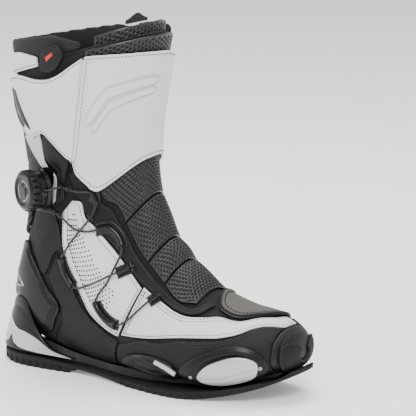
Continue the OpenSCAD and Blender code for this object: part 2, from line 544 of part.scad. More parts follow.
module pull_tab() {
  color([.1, .1, .1]) panel([[17.72, 30, 18.05, 30], [17.73, 24, 18.2, 24], [17.74, 16, 18.2, 16],
    [17.74, 10, 18.05, 10]], l0 - 3.6, l0 - 2, 8, 3);
}
module collar_pad() {
  color([.08, .08, .08]) panel([for (a = [66 : 12 : 294])
    let (e = min(1, (114 - abs(a - 180)) / 30)) [16.98, a, 17.25 + .65 * e, a]],
    -6, -1.3, 24, 3, .5);
}
module collar_rear() {
  color([.8, .8, .81]) panel([for (a = [112 : 12 : 244])
    let (e = min(1, (66 - abs(a - 178)) / 20)) [16.7 + .02, a, 17.05 + .3 * e, a]],
    p0, p1, 22, 3);
}
module collar_tab() {
  color([.07, .07, .07]) island([16.85, 95], [[17.3, 86], [17.35, 94], [17.1, 105], [16.6, 107],
    [16.42, 98], [16.5, 88], [16.9, 82]], f1 - 3.4, f1 - 1.4, 3, .4);
}
module loop_patch() {
  color([.1, .1, .1]) panel([[12.9, -56, 15.3, -56], [12.9, -74, 15.3, -74]], o0, o0 + .6, 4, 8);
}
// flap that wraps the shin from the lateral crease to the medial side
FLAP = [[12.78, 75, 16.62, 61.5], [12.3, 66, 16.58, 55], [11.8, 53, 16.48, 46],
  [11.35, 42, 16.38, 38], [10.9, 33.5, 16.28, 31], [10.62, 27, 16.2, 24], [10.45, 18, 16.1, 16],
  [10.35, 8, 16, 6], [10.3, 0, 15.95, -4], [10.45, -14, 15.85, -15], [10.8, -28, 15.75, -28],
  [11.25, -42, 15.7, -42], [11.75, -56, 15.75, -56], [12.15, -66, 15.85, -66],
  [12.5, -73, 15.8, -73], [12.95, -77, 15.6, -76.5]];
module shin_flap() {
  color([.83, .83, .84]) panel(FLAP, f0, f1, 22, 9);
}
module hook_patch() {
  color([.12, .12, .12]) panel([[13, -58, 15.2, -58], [13, -72, 15.2, -72]], f0 - 1, f0 - .25,
    4, 8);
}

// dial, built on its own axis where the calf curves to the outside
dial_t = 12.9;
dial_a = 125;
dial_lift = 6.4;
dial_turn = -116;
dial_c = Q(dial_t, dial_a, dial_lift);
module on_dial() {
  translate(dial_c) rotate([0, 90, dial_turn]) children();
}
port_angles = [96.5, 26];
base_h = 3.4;
wall_in = spool_r + 1.6;
wall_out = wall_in + 3;
wall_h = 5.6;
axle_r = 2.6;
module dial_base() {
  color([.07, .07, .07]) on_dial() {
    translate([0, 0, dial_clear / 2]) cylinder(h = base_h - dial_clear / 2, r1 = wall_out + 1.6,
      r2 = wall_out + .8, $fn = 48);
    translate([0, 0, 1]) cylinder(h = base_h + wall_h + knob_h - 3.4, r = axle_r, $fn = 24);
  }
}
module dial_housing() {
  color([.09, .09, .09]) on_dial() translate([0, 0, base_h + dial_clear / 2]) difference() {
    cylinder(h = wall_h, r = wall_out, $fn = 48);
    translate([0, 0, -1]) cylinder(h = wall_h + 2, r = wall_in, $fn = 48);
    for (a = port_angles) rotate([0, 0, a])
      translate([wall_in - 1, -2, -1]) cube([wall_out, 4, wall_h - 1]);
  }
}
// wedge that carries the tilted dial on the curved shaft
module dial_seat() {
  q = 32;
  top = [for (i = [0 : q - 1]) let (a = i * 360 / q)
    dial_c + (wall_out + 1.4) * [-sin(dial_turn) * sin(a), cos(dial_turn) * sin(a), -cos(a)]];
  axis = [cos(dial_turn), sin(dial_turn), 0];
  low = [for (i = [0 : q - 1])
    let (a = i * 360 / q, p = Q(dial_t - .66 * cos(a), dial_a + 17 * sin(a), o1 + layer_gap + .6))
    p - max(0, (p - dial_c) * axis + .55) * axis];
  color([.07, .07, .07]) polyhedron(concat(top, low, [dial_c], [Q(dial_t, dial_a, o1 + layer_gap + .6)]),
    concat([for (i = [0 : q - 1]) let (j = (i + 1) % q) [2 * q, i, j]],
      [for (i = [0 : q - 1]) let (j = (i + 1) % q) each tri2(i, j, j + q, i + q, true)],
      [for (i = [0 : q - 1]) let (j = (i + 1) % q) [2 * q + 1, j + q, i + q]]));
}
module dial_spool() {
  color([.5, .5, .52]) on_dial() translate([0, 0, base_h + dial_clear]) difference() {
    union() {
      cylinder(h = 1, r = spool_r, $fn = 48);
      cylinder(h = wall_h - dial_clear * 2, r = spool_r - 2.6, $fn = 48);
      translate([0, 0, wall_h - dial_clear * 2 - 1]) cylinder(h = 1, r = spool_r, $fn = 48);
    }
    translate([0, 0, -1]) cylinder(h = wall_h + 2, r = axle_r + dial_clear, $fn = 24);
  }
}
module dial_knob() {
  color([.1, .1, .1]) on_dial() translate([0, 0, base_h + wall_h + dial_clear * 2]) difference() {
    union() {
      cylinder(h = knob_h - 3, r = knob_r, $fn = 60);
      translate([0, 0, knob_h - 3]) cylinder(h = 3, r1 = knob_r, r2 = knob_r - 3.5, $fn = 60);
    }
    translate([0, 0, -1]) cylinder(h = knob_h - 1.6, r = axle_r + dial_clear, $fn = 24);
    for (i = [0 : knob_notches - 1]) rotate([0, 0, i * 360 / knob_notches])
      translate([knob_r + .5, 0, -1]) cylinder(h = knob_h - 1.5, r = 1.3, $fn = 12);
    translate([0, 0, knob_h - .8]) cylinder(h = 2, r = knob_r - 7, $fn = 48);
  }
}

outsole();
midsole();
footbed();
heel_cup();
heel_insert();
foot_liner();
ankle_liner();
shaft_liner();
foot_shell();
ankle_shell();
shaft_shell();
toe_cap();
toe_bumper();
rand_lateral();
rand_medial();
vamp();
shift_pad();
slider_bezel();
slider_plate();
slider_screws();
ball_pod();
ball_insert();
heel_counter();
heel_reflector();
quarter_lateral();
quarter_medial();
ankle_panel_lateral();
ankle_panel_medial();
achilles_ribs();
perforated_panel();
medial_panel();
instep_mesh_1();
instep_mesh_2();
instep_mesh_3();
instep_border();
lace_guide_bar();
lace_guide_hook();
lace_guide_front_1();
lace_guide_front_2();
lace_guide_front_3();
calf_panel();
calf_wing();
calf_graphic();
support_arm();
support_tail();
upper_guide();
tongue();
pull_tab();
collar_pad();
collar_rear();
collar_tab();
loop_patch();
shin_flap();
hook_patch();
dial_seat();
dial_base();
dial_housing();
dial_spool();
dial_knob();
lace();
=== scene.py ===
"""Looks of a right-foot motorcycle touring boot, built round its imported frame."""
import json
import math

import bmesh
import bpy
import numpy as np
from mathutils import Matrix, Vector

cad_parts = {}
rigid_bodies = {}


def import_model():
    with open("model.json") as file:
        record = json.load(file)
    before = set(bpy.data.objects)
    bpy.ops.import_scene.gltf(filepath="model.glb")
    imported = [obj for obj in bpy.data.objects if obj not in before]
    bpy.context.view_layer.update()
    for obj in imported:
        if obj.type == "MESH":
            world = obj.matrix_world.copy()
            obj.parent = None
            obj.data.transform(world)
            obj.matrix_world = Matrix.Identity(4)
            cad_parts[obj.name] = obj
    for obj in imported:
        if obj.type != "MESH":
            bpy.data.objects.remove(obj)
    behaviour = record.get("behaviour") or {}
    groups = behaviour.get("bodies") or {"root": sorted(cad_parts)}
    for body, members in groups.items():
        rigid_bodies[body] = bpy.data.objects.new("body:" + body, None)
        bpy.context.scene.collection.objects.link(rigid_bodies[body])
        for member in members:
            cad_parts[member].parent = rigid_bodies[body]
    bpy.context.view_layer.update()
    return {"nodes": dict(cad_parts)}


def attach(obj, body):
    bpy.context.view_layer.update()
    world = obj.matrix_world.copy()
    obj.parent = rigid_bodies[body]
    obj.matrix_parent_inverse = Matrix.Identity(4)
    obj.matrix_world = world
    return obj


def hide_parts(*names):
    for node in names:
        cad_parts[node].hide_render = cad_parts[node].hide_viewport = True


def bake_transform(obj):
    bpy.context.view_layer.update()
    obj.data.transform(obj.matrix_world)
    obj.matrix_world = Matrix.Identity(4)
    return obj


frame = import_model()

bl_info = {
    "name": "Touring Boot Looks",
    "version": (1, 0, 0),
    "blender": (4, 5, 0),
    "location": "View3D > Sidebar > Boot",
    "description": "Builds the leather, mesh, rubber, dial and lace of a touring boot",
    "category": "Object",
}

MM = 0.001

# ---------------------------------------------------------------- body surface
# stations from toe to collar: front x, front z, back x, back z, split, centre y,
# lateral and medial half width, power of the front and of the back
STATIONS = np.array([
    [146, 42, 146, 36, .50, 6, 3, 3, 2.0, 2.0], [143, 52, 141, 29, .45, 6, 20, 19, 2.1, 2.4],
    [132, 61, 131, 24, .42, 5, 35, 31, 2.2, 2.8], [113, 68, 113, 19, .40, 4, 46, 39, 2.1, 3.0],
    [90, 72, 91, 14, .38, 2, 52, 44, 2.0, 3.2], [66, 83, 62, 11, .36, 0, 54, 45, 1.9, 3.2],
    [44, 101, 28, 10, .34, 0, 52, 42, 1.9, 3.0], [27, 119, -14, 10, .34, 0, 47, 39, 1.9, 2.8],
    [13, 141, -57, 12, .37, 0, 41, 37, 2.0, 2.6], [5, 166, -98, 16, .41, 0, 37, 36, 2.1, 2.4],
    [1, 190, -130, 32, .43, 0, 38, 37, 2.2, 2.3], [0, 211, -136, 66, .46, 0, 39, 39, 2.2, 2.2],
    [0, 229, -127, 100, .48, 0, 42, 41, 2.2, 2.2], [2, 245, -120, 134, .50, 0, 45, 44, 2.2, 2.2],
    [4, 260, -119, 168, .50, 0, 48, 47, 2.2, 2.2], [6, 274, -122, 202, .50, 0, 51, 50, 2.2, 2.2],
    [9, 289, -127, 236, .50, 0, 54, 52, 2.2, 2.2], [12, 304, -132, 268, .50, 0, 56, 54, 2.2, 2.2],
    [13, 316, -136, 292, .50, 0, 57, 55, 2.2, 2.2]], float)
# outline of the sole from heel to toe: x, lateral edge, medial edge
OUTLINE = np.array([
    [-152.5, 3, 3], [-149, 15, 15], [-140, 26, 25.5], [-122, 34, 33], [-98, 36.5, 35.5],
    [-68, 36, 34], [-35, 38.5, 31], [0, 47, 31], [32, 54, 37], [60, 55.5, 43], [90, 48, 44],
    [117, 37.5, 38.5], [136, 26, 30.5], [148, 12, 21], [153, -2, 12]], float)
UNDERSIDE = np.array([
    [-160, 14.6], [-98, 14.6], [-57, 12], [-14, 10], [28, 10], [62, 11], [91, 14], [113, 19],
    [131, 24], [141, 29], [146, 33], [160, 36]], float)

# heights of the layers over the body surface, in mm
PANEL_LOW, PANEL_TOP = -.4, 1.2
OVER_LOW, OVER_TOP = 1.5, 3.1
PLATE_LOW, PLATE_TOP = 3.4, 5.4
SHELL_LOW, SHELL_TOP = -3.3, -1.1
LINER_LOW, LINER_TOP = -6.3, -4.3


def smooth(table, t):
    """Catmull-Rom curve through the rows of a table, at parameters t counted in rows."""
    table = np.asarray(table, float)
    t = np.asarray(t, float)
    last = len(table) - 1
    i = np.clip(np.floor(t).astype(int), 0, last - 1)
    f = (t - i)[..., None]
    a, b = table[np.clip(i - 1, 0, last)], table[i]
    c, d = table[i + 1], table[np.clip(i + 2, 0, last)]
    return .5 * (2 * b + (c - a) * f + (2 * a - 5 * b + 4 * c - d) * f * f
                 + (3 * b - a - 3 * c + d) * f ** 3)


def skin(t, a):
    """Body surface: at station t a superellipse round the line from the front to the back point,
    |cos a / r1|^p + |sin a / r2|^p = 1, with a = 0 in front, 90 on the lateral side."""
    r = smooth(STATIONS, t)
    a = np.radians(np.asarray(a, float))
    dx, dz = r[..., 0] - r[..., 2], r[..., 1] - r[..., 3]
    size, c, s = np.hypot(dx, dz), np.cos(a), np.sin(a)
    along = np.where(c > 0, size * (1 - r[..., 4]), size * r[..., 4])
    across = np.where(s > 0, r[..., 6], r[..., 7])
    p = r[..., 8] + (r[..., 9] - r[..., 8]) * (1 - c) / 2
    q = (np.abs(c / along) ** p + np.abs(s / across) ** p) ** (-1 / p)
    return np.stack([r[..., 2] + r[..., 4] * dx + q * c * dx / size, r[..., 5] - q * s,
                     r[..., 3] + r[..., 4] * dz + q * c * dz / size], -1)


def unit(v):
    """Vectors of length one."""
    return v / np.maximum(np.linalg.norm(v, axis=-1, keepdims=True), 1e-9)


def outward(t, a):
    """Unit normal of the body surface, from the cross product of its two slopes."""
    t, a = np.broadcast_arrays(np.asarray(t, float), np.asarray(a, float))
    return unit(np.cross(skin(t + .02, a) - skin(t - .02, a), skin(t, a + 1) - skin(t, a - 1)))


def over(t, a, h):
    """Point at height h above the body surface."""
    return skin(t, a) + np.asarray(h, float)[..., None] * outward(t, a)


# ---------------------------------------------------------------- meshes
def raw_mesh(name, points, quads, tris=None, values=None, flat=None):
    """Mesh from an array of points in mm and index arrays; values are named point numbers,
    flat is a point's place on the laid-out cloth in metres and becomes the UV map."""
    mesh = bpy.data.meshes.new(name)
    tris = np.zeros((0, 3), int) if tris is None else np.asarray(tris, int)
    quads = np.asarray(quads, int).reshape(-1, 4)
    loops = np.concatenate([quads.ravel(), tris.ravel()]).astype(np.int32)
    totals = np.concatenate([np.full(len(quads), 4), np.full(len(tris), 3)]).astype(np.int32)
    starts = np.concatenate([[0], np.cumsum(totals)[:-1]]).astype(np.int32)
    mesh.vertices.add(len(points))
    mesh.vertices.foreach_set("co", (np.asarray(points) * MM).astype(np.float32).ravel())
    mesh.loops.add(len(loops))
    mesh.loops.foreach_set("vertex_index", loops)
    mesh.polygons.add(len(totals))
    mesh.polygons.foreach_set("loop_start", starts)
    mesh.polygons.foreach_set("loop_total", totals)
    mesh.polygons.foreach_set("use_smooth", np.ones(len(totals), bool))
    for key, numbers in (values or {}).items():
        mesh.attributes.new(key, "FLOAT", "POINT").data.foreach_set(
            "value", np.asarray(numbers, np.float32).ravel())
    if flat is not None:
        uv = mesh.uv_layers.new(name="Cloth")
        uv.data.foreach_set("uv", np.asarray(flat, np.float32).reshape(-1, 2)[loops].ravel())
    mesh.update(calc_edges=True)
    mesh.validate()
    piece = bpy.data.objects.new(name, mesh)
    bpy.context.scene.collection.objects.link(piece)
    return piece


def cells(rows, columns, wrap=False, start=0):
    """Quads of a grid of points, row by row; wrap joins the last column to the first."""
    i, j = np.meshgrid(np.arange(rows - 1), np.arange(columns - (0 if wrap else 1)), indexing="ij")
    k = (j + 1) % columns
    return start + np.stack([i * columns + j, (i + 1) * columns + j,
                             (i + 1) * columns + k, i * columns + k], -1).reshape(-1, 4)


def end_fans(rows, columns):
    """Triangles that close the two ends of a stack of rings with one point each, kept after
    the rings' own points."""
    k, size = np.arange(columns), rows * columns
    nxt = (k + 1) % columns
    return np.concatenate([np.stack([np.full(columns, size), nxt, k], -1),
                           np.stack([np.full(columns, size + 1), size - columns + k,
                                     size - columns + nxt], -1)])


def shell(name, top, low, wrap=False, values=None, flat=None):
    """Closed solid between an outer and an inner grid: both grids and a rim between them."""
    rows, columns = top.shape[:2]
    count = rows * columns
    up = cells(rows, columns, wrap)
    down = cells(rows, columns, wrap, count)[:, ::-1]
    index = np.arange(count).reshape(rows, columns)
    loops = [index[0], index[-1][::-1]]
    if wrap:
        loops = [np.append(index[0], index[0, 0]), np.append(index[-1], index[-1, 0])[::-1]]
    else:
        loops += [index[::-1, 0], index[:, -1]]
    rim = [np.stack([e[:-1], e[1:], e[1:] + count, e[:-1] + count], -1) for e in loops]
    quads = np.concatenate([up, down] + rim)
    i, j = rows // 2, columns // 2
    turn = np.cross(top[i + 1, j] - top[i - 1, j], top[i, (j + 1) % columns] - top[i, j - 1])
    if turn @ (top[i, j] - low[i, j]) < 0:
        quads = quads[:, ::-1]
    both = {k: np.concatenate([np.ravel(v)] * 2) for k, v in (values or {}).items()}
    cloth = None if flat is None else np.concatenate([flat.reshape(-1, 2)] * 2)
    points = np.concatenate([top.reshape(-1, 3), low.reshape(-1, 3)])
    return raw_mesh(name, points, quads, None, both, cloth)


def spaced(count, length, rounding):
    """Numbers from 0 to 1, close together within the rounding of each end."""
    e = np.array([0, .12, .35, .65, 1]) * min(rounding / max(length, .1), .2)
    return np.concatenate([e, np.linspace(e[-1], 1 - e[-1], count + 1)[1:-1], 1 - e[::-1]])


def arc(points, axis):
    """Length along a grid of points in one direction."""
    step = np.linalg.norm(np.diff(points, axis=axis), axis=-1)
    pad = [(0, 0), (0, 0)]
    pad[axis] = (1, 0)
    return np.cumsum(np.pad(step, pad), axis=axis)


def rim_distance(points):
    """Distance of each grid point to the nearest edge of its grid, and its two arc lengths."""
    u, v = arc(points, 0), arc(points, 1)
    near = np.minimum(np.minimum(u, u[-1:] - u), np.minimum(v, v[:, -1:] - v))
    return near, u, v


def rounded(near, radius):
    """Fall of a quarter-round edge: r (1 - sqrt(1 - (1 - d/r)^2))."""
    f = 1 - np.clip(near / radius, 0, 1)
    return radius * (1 - np.sqrt(np.maximum(0, 1 - f * f)))


def groove(near, place, width, depth):
    """Bell-shaped channel round a given distance."""
    return -depth * np.exp(-((near - place) / width) ** 2)


def panel_grid(rows, pitch, rounding):
    """Stations and angles of a panel: rows of its two edges, joined by straight rulings."""
    rows = np.asarray(rows, float)
    probe = smooth(rows, np.linspace(0, len(rows) - 1, 40))
    mid = skin((probe[:, 0] + probe[:, 2]) / 2, (probe[:, 1] + probe[:, 3]) / 2)
    length = np.linalg.norm(np.diff(mid, axis=0), axis=1).sum()
    f = np.linspace(0, 1, 20)
    line = probe[:, None, :2] + (probe[:, None, 2:] - probe[:, None, :2]) * f[None, :, None]
    width = np.linalg.norm(np.diff(skin(line[..., 0], line[..., 1]), axis=1), axis=-1).sum(1).max()
    s = spaced(max(4, int(length / pitch)), length, rounding)
    w = spaced(max(4, int(width / pitch)), width, rounding)
    edge = smooth(rows, s * (len(rows) - 1))
    t = edge[:, None, 0] + (edge[:, None, 2] - edge[:, None, 0]) * w
    a = edge[:, None, 1] + (edge[:, None, 3] - edge[:, None, 1]) * w
    return t, a, s, w


def panel(name, rows, low, top, pitch=1.4, crown=0., rounding=.7, relief=None):
    """Sewn panel: height = top + crown sin(pi s) sin(pi w) + relief - rounded edge."""
    t, a, s, w = panel_grid(rows, pitch, rounding)
    face = over(t, a, np.full(t.shape, top))
    near, u, v = rim_distance(face)
    rise = crown * np.sin(np.pi * s)[:, None] * np.sin(np.pi * w)[None] - rounded(near, rounding)
    values = {"rim": np.exp(-near / 1.2)}
    if relief:
        extra, more = relief(t, a, near, u, v)
        rise = rise + extra
        values.update(more)
    return shell(name, over(t, a, top + rise), over(t, a, np.full(t.shape, low)),
                 values=values, flat=np.stack([u, v], -1) * MM)


def closed_ring(ring, count):
    """Closed Catmull-Rom curve through a ring of points, at count even steps."""
    ring = np.asarray(ring, float)
    n = len(ring)
    f = np.arange(count) * n / count
    i = np.floor(f).astype(int)
    g = (f - i)[:, None]
    a, b, c, d = (ring[(i + k) % n] for k in (-1, 0, 1, 2))
    return .5 * (2 * b + (c - a) * g + (2 * a - 5 * b + 4 * c - d) * g * g
                 + (3 * b - a - 3 * c + d) * g ** 3)


def island(name, middle, ring, low, top, crown=.6, rounding=.9, pitch=1.2, relief=None):
    """Moulded pad inside a ring of [station, angle] points: height = top + crown (1 - r^2)
    + relief - rounded edge, where r runs from 0 at the middle to 1 at the ring."""
    middle = np.asarray(middle, float)
    probe = closed_ring(ring, 64)
    around = skin(probe[:, 0], probe[:, 1])
    count = int(max(40, np.linalg.norm(np.roll(around, -1, 0) - around, axis=1).sum() / pitch))
    edge = closed_ring(ring, count)
    reach = np.linalg.norm(around - skin(*middle), axis=1).mean()
    r = spaced(max(6, int(reach / pitch)), reach, rounding)
    r = np.unique(np.concatenate([[.02], r[r > .03]]))
    ta = middle + (edge[None] - middle) * r[:, None, None]
    t, a = ta[..., 0], ta[..., 1]
    face = over(t, a, np.full(t.shape, top))
    u = arc(face, 0)
    near = u[-1:] - u
    rise = crown * (1 - r[:, None] ** 2) - rounded(near, rounding)
    values = {"rim": np.exp(-near / 1.2)}
    if relief:
        extra, more = relief(t, a, near, r[:, None] + 0 * t, near)
        rise = rise + extra
        values.update(more)
    upper = over(t, a, top + rise)
    lower = over(t, a, np.full(t.shape, low))
    rows = len(r)
    size = rows * count
    points = np.concatenate([upper.reshape(-1, 3), lower.reshape(-1, 3),
                             [upper[0].mean(0), lower[0].mean(0)]])
    k = np.arange(count)
    nxt = (k + 1) % count
    last = (rows - 1) * count
    quads = np.concatenate([
        cells(rows, count, True), cells(rows, count, True, size)[:, ::-1],
        np.stack([last + k, last + k + size, last + nxt + size, last + nxt], -1)])
    tris = np.concatenate([np.stack([np.full(count, 2 * size), k, nxt], -1),
                           np.stack([np.full(count, 2 * size + 1), size + nxt, size + k], -1)])
    turn = np.cross(upper[3, 0] - upper[1, 0], upper[2, 1] - upper[2, -1])
    if turn @ (upper[2, 0] - lower[2, 0]) < 0:
        quads, tris = quads[:, ::-1], tris[:, ::-1]
    both = {key: np.concatenate([np.ravel(v), np.ravel(v), [np.ravel(v)[0]] * 2])
            for key, v in values.items()}
    spot = np.stack([np.cos(2 * np.pi * k / count)[None] * r[:, None] * reach,
                     np.sin(2 * np.pi * k / count)[None] * r[:, None] * reach], -1) * MM
    flat = np.concatenate([spot.reshape(-1, 2)] * 2 + [np.zeros((2, 2))])
    return raw_mesh(name, points, quads, tris, both, flat)


def sleeve(name, start, end, low, top, rows, columns, cap=0., relief=None):
    """Sleeve round the body between two stations; cap closes the toe end, its inner wall
    starting that many stations later."""
    t = np.linspace(start, end, rows)[:, None] + np.zeros(columns)
    a = np.linspace(0, 360, columns, endpoint=False)[None] + np.zeros((rows, 1))
    inner_t = np.linspace(start + cap, end, rows)[:, None] + np.zeros(columns)
    rise = top + (relief(t, a) if relief else np.zeros(t.shape))
    outer, inner = over(t, a, rise), over(inner_t, a, np.full(t.shape, low))
    u = arc(outer, 0)
    v = np.pad(np.cumsum(np.linalg.norm(np.diff(outer, axis=1), axis=-1), 1), ((0, 0), (1, 0)))
    near = u[-1:] - u
    flat = np.stack([u, v], -1) * MM
    values = {"rim": np.exp(-near / 1.2)}
    if not cap:
        return shell(name, outer, inner, True, values, flat)
    size = rows * columns
    points = np.concatenate([outer.reshape(-1, 3), inner.reshape(-1, 3),
                             [outer[0].mean(0), inner[0].mean(0)]])
    k = np.arange(columns)
    nxt = (k + 1) % columns
    last = (rows - 1) * columns
    quads = np.concatenate([
        cells(rows, columns, True)[:, ::-1], cells(rows, columns, True, size),
        np.stack([last + k, last + nxt, last + nxt + size, last + k + size], -1)[:, ::-1]])
    tris = np.concatenate([np.stack([np.full(columns, 2 * size), nxt, k], -1),
                           np.stack([np.full(columns, 2 * size + 1), size + k, size + nxt], -1)])
    turn = np.cross(outer[5, 0] - outer[3, 0], outer[4, 1] - outer[4, -1])
    if turn @ (outer[4, 0] - inner[4, 0]) > 0:
        quads, tris = quads[:, ::-1], tris[:, ::-1]
    both = {key: np.concatenate([v.ravel(), v.ravel(), [0, 0]]) for key, v in values.items()}
    return raw_mesh(name, points, quads, tris, both,
                    np.concatenate([flat.reshape(-1, 2)] * 2 + [np.zeros((2, 2))]))


def frames(points, up):
    """Tangent, side and up vectors along a line of points."""
    tangent = unit(np.gradient(points, axis=0))
    side = unit(np.cross(tangent, up))
    return tangent, side, np.cross(side, tangent)


def resample(points, step):
    """Points and fractional indices at even steps along a line."""
    length = np.concatenate([[0], np.cumsum(np.linalg.norm(np.diff(points, axis=0), axis=1))])
    count = max(2, int(round(length[-1] / step)) + 1)
    place = np.interp(np.linspace(0, length[-1], count), length, np.arange(len(points)))
    columns = [np.interp(place, np.arange(len(points)), points[:, k]) for k in range(3)]
    return np.stack(columns, -1), place, length[-1]


def tube(name, points, up, radius, sides=10, flatten=1., inner=0.):
    """Rod along a line of points: rings of the given radius, flattened along up. Its ends are
    rounded, or left open with a wall when there is an inner radius."""
    radius = np.broadcast_to(np.asarray(radius, float), (len(points),))
    tangent, side, top = frames(points, up)
    w = np.linspace(0, 2 * np.pi, sides, endpoint=False)
    ring = (side[:, None] * np.cos(w)[None, :, None]
            + flatten * top[:, None] * np.sin(w)[None, :, None])
    if inner:
        r = radius.copy()
        r[[0, -1]] *= .9
        return shell(name, points[:, None] + r[:, None, None] * ring,
                     points[:, None] + inner * ring, True)
    caps = np.array([.45, .8, 1.])
    head = [points[0] - tangent[0] * radius[0] * .6 * (1 - c) for c in caps]
    tail = [points[-1] + tangent[-1] * radius[-1] * .6 * (1 - c) for c in caps[::-1]]
    centre = np.concatenate([head, points[1:-1], tail])
    size = np.concatenate([radius[0] * caps, radius[1:-1], radius[-1] * caps[::-1]])
    pick = np.concatenate([[0, 0, 0], np.arange(1, len(points) - 1), [-1, -1, -1]]).astype(int)
    grid = centre[:, None] + size[:, None, None] * ring[pick]
    rows = len(grid)
    along = np.concatenate([[0], np.cumsum(np.linalg.norm(np.diff(centre, axis=0), axis=1))])
    ends = [centre[0] - tangent[0] * radius[0] * .1, centre[-1] + tangent[-1] * radius[-1] * .1]
    tris = end_fans(rows, sides)
    quads = cells(rows, sides, True)
    turn = np.cross(grid[2, 0] - grid[1, 0], grid[1, 1] - grid[1, 0])
    if turn @ (grid[1, 0] - centre[1]) < 0:
        quads = quads[:, ::-1]
    flat = np.stack([np.repeat(along, sides), np.tile(w * radius.mean(), rows)], -1) * MM
    piece = raw_mesh(name, np.concatenate([grid.reshape(-1, 3), ends]), quads, tris, None,
                     np.concatenate([flat, np.zeros((2, 2))]))
    return face_out(piece)


def face_out(piece):
    """Turns the faces of a closed new mesh outwards."""
    shape = bmesh.new()
    shape.from_mesh(piece.data)
    bmesh.ops.recalc_face_normals(shape, faces=shape.faces)
    shape.to_mesh(piece.data)
    shape.free()
    return piece


def turned(name, profile, sides, place, ripple=None):
    """Body of revolution: profile rows of radius and height, carried round an axis by place,
    a function from local x, y, z in mm to the boot's frame; ripple changes the radius."""
    profile = np.asarray(profile, float)
    w = np.linspace(0, 2 * np.pi, sides, endpoint=False)
    r = profile[:, :1] + 0 * w[None]
    if ripple:
        r = r + ripple(profile[:, :1], profile[:, 1:], w[None])
    local = np.stack([r * np.cos(w), r * np.sin(w), profile[:, 1:] + 0 * w], -1)
    rows = len(profile)
    grid = place(local)
    ends = place(np.array([[0, 0, profile[0, 1]], [0, 0, profile[-1, 1]]]))
    tris = end_fans(rows, sides)
    return face_out(raw_mesh(name, np.concatenate([grid.reshape(-1, 3), ends]),
                             cells(rows, sides, True), tris))


def beads(name, line, normal, step, length, width, height):
    """Row of stitches: an eight-sided bead at each even step, long along the line and flat
    against the surface."""
    points, place, _ = resample(line, step)
    index = np.arange(len(line))
    up = unit(np.stack([np.interp(place, index, normal[:, k]) for k in range(3)], -1))
    tangent, side, top = frames(points, up)
    points = points[:-1] + np.diff(points, axis=0) / 2
    tangent, side, top = tangent[:-1], side[:-1], top[:-1]
    w = np.linspace(0, 2 * np.pi, 6, endpoint=False)
    x = np.repeat([-.36, .36], 6) * length
    y = np.tile(np.cos(w), 2) * width / 2
    z = np.tile(np.sin(w), 2) * height
    x, y, z = np.append(x, [-length / 2, length / 2]), np.append(y, [0, 0]), np.append(z, [0, 0])
    grid = (points[:, None] + tangent[:, None] * x[None, :, None]
            + side[:, None] * y[None, :, None] + top[:, None] * z[None, :, None])
    k = np.arange(6)
    nxt = (k + 1) % 6
    quads = np.stack([k, nxt, 6 + nxt, 6 + k], -1)
    tris = np.concatenate([np.stack([np.full(6, 12), nxt, k], -1),
                           np.stack([np.full(6, 13), 6 + k, 6 + nxt], -1)])
    shift = (np.arange(len(points)) * 14)[:, None, None]
    piece = raw_mesh(name, grid.reshape(-1, 3), (quads[None] + shift).reshape(-1, 4),
                     (tris[None] + shift).reshape(-1, 3))
    return piece


def dots(name, t, a, h, radius, height):
    """Low round studs or holes at the given places of the body surface."""
    centre, up = over(t, a, np.full(np.shape(t), h)), outward(t, a)
    side = unit(np.cross(up, [0, 0, 1.]))
    w = np.linspace(0, 2 * np.pi, 8, endpoint=False)
    ring = (side[:, None] * np.cos(w)[None, :, None]
            + np.cross(up, side)[:, None] * np.sin(w)[None, :, None])
    centre, up = centre[:, None], up[:, None]
    grid = np.concatenate([centre + radius * ring, centre + up * height, centre - up * .2], 1)
    k = np.arange(8)
    nxt = (k + 1) % 8
    tris = np.concatenate([np.stack([np.full(8, 8), k, nxt], -1),
                           np.stack([np.full(8, 9), nxt, k], -1)])
    shift = (np.arange(len(centre)) * 10)[:, None, None]
    return face_out(raw_mesh(name, grid.reshape(-1, 3), np.zeros((0, 4), int),
                             (tris[None] + shift).reshape(-1, 3)))


# ---------------------------------------------------------------- shader maths
class Wire:
    """A number or vector socket; an expression on wires adds its Math nodes."""

    def __init__(self, look, socket):
        self.look, self.socket = look, socket

    def maths(self, kind, *others):
        return self.look.node("ShaderNodeMath", {"operation": kind},
                              dict(enumerate((self,) + others)), 0)

    def __add__(self, other):
        return self.maths("ADD", other)

    def __mul__(self, other):
        return self.maths("MULTIPLY", other)

    def __sub__(self, other):
        return self.maths("SUBTRACT", other)

    def __rsub__(self, other):
        return self.look.node("ShaderNodeMath", {"operation": "SUBTRACT"}, {0: other, 1: self}, 0)

    def __pow__(self, other):
        return self.maths("POWER", other)

    __radd__, __rmul__ = __add__, __mul__

    def ramp(self, low, high, start=0., end=1.):
        """Eased step: start below low, end above high."""
        return self.look.node("ShaderNodeMapRange", {"interpolation_type": "SMOOTHSTEP"},
                              {"Value": self, 1: low, 2: high, 3: start, 4: end}, 0)


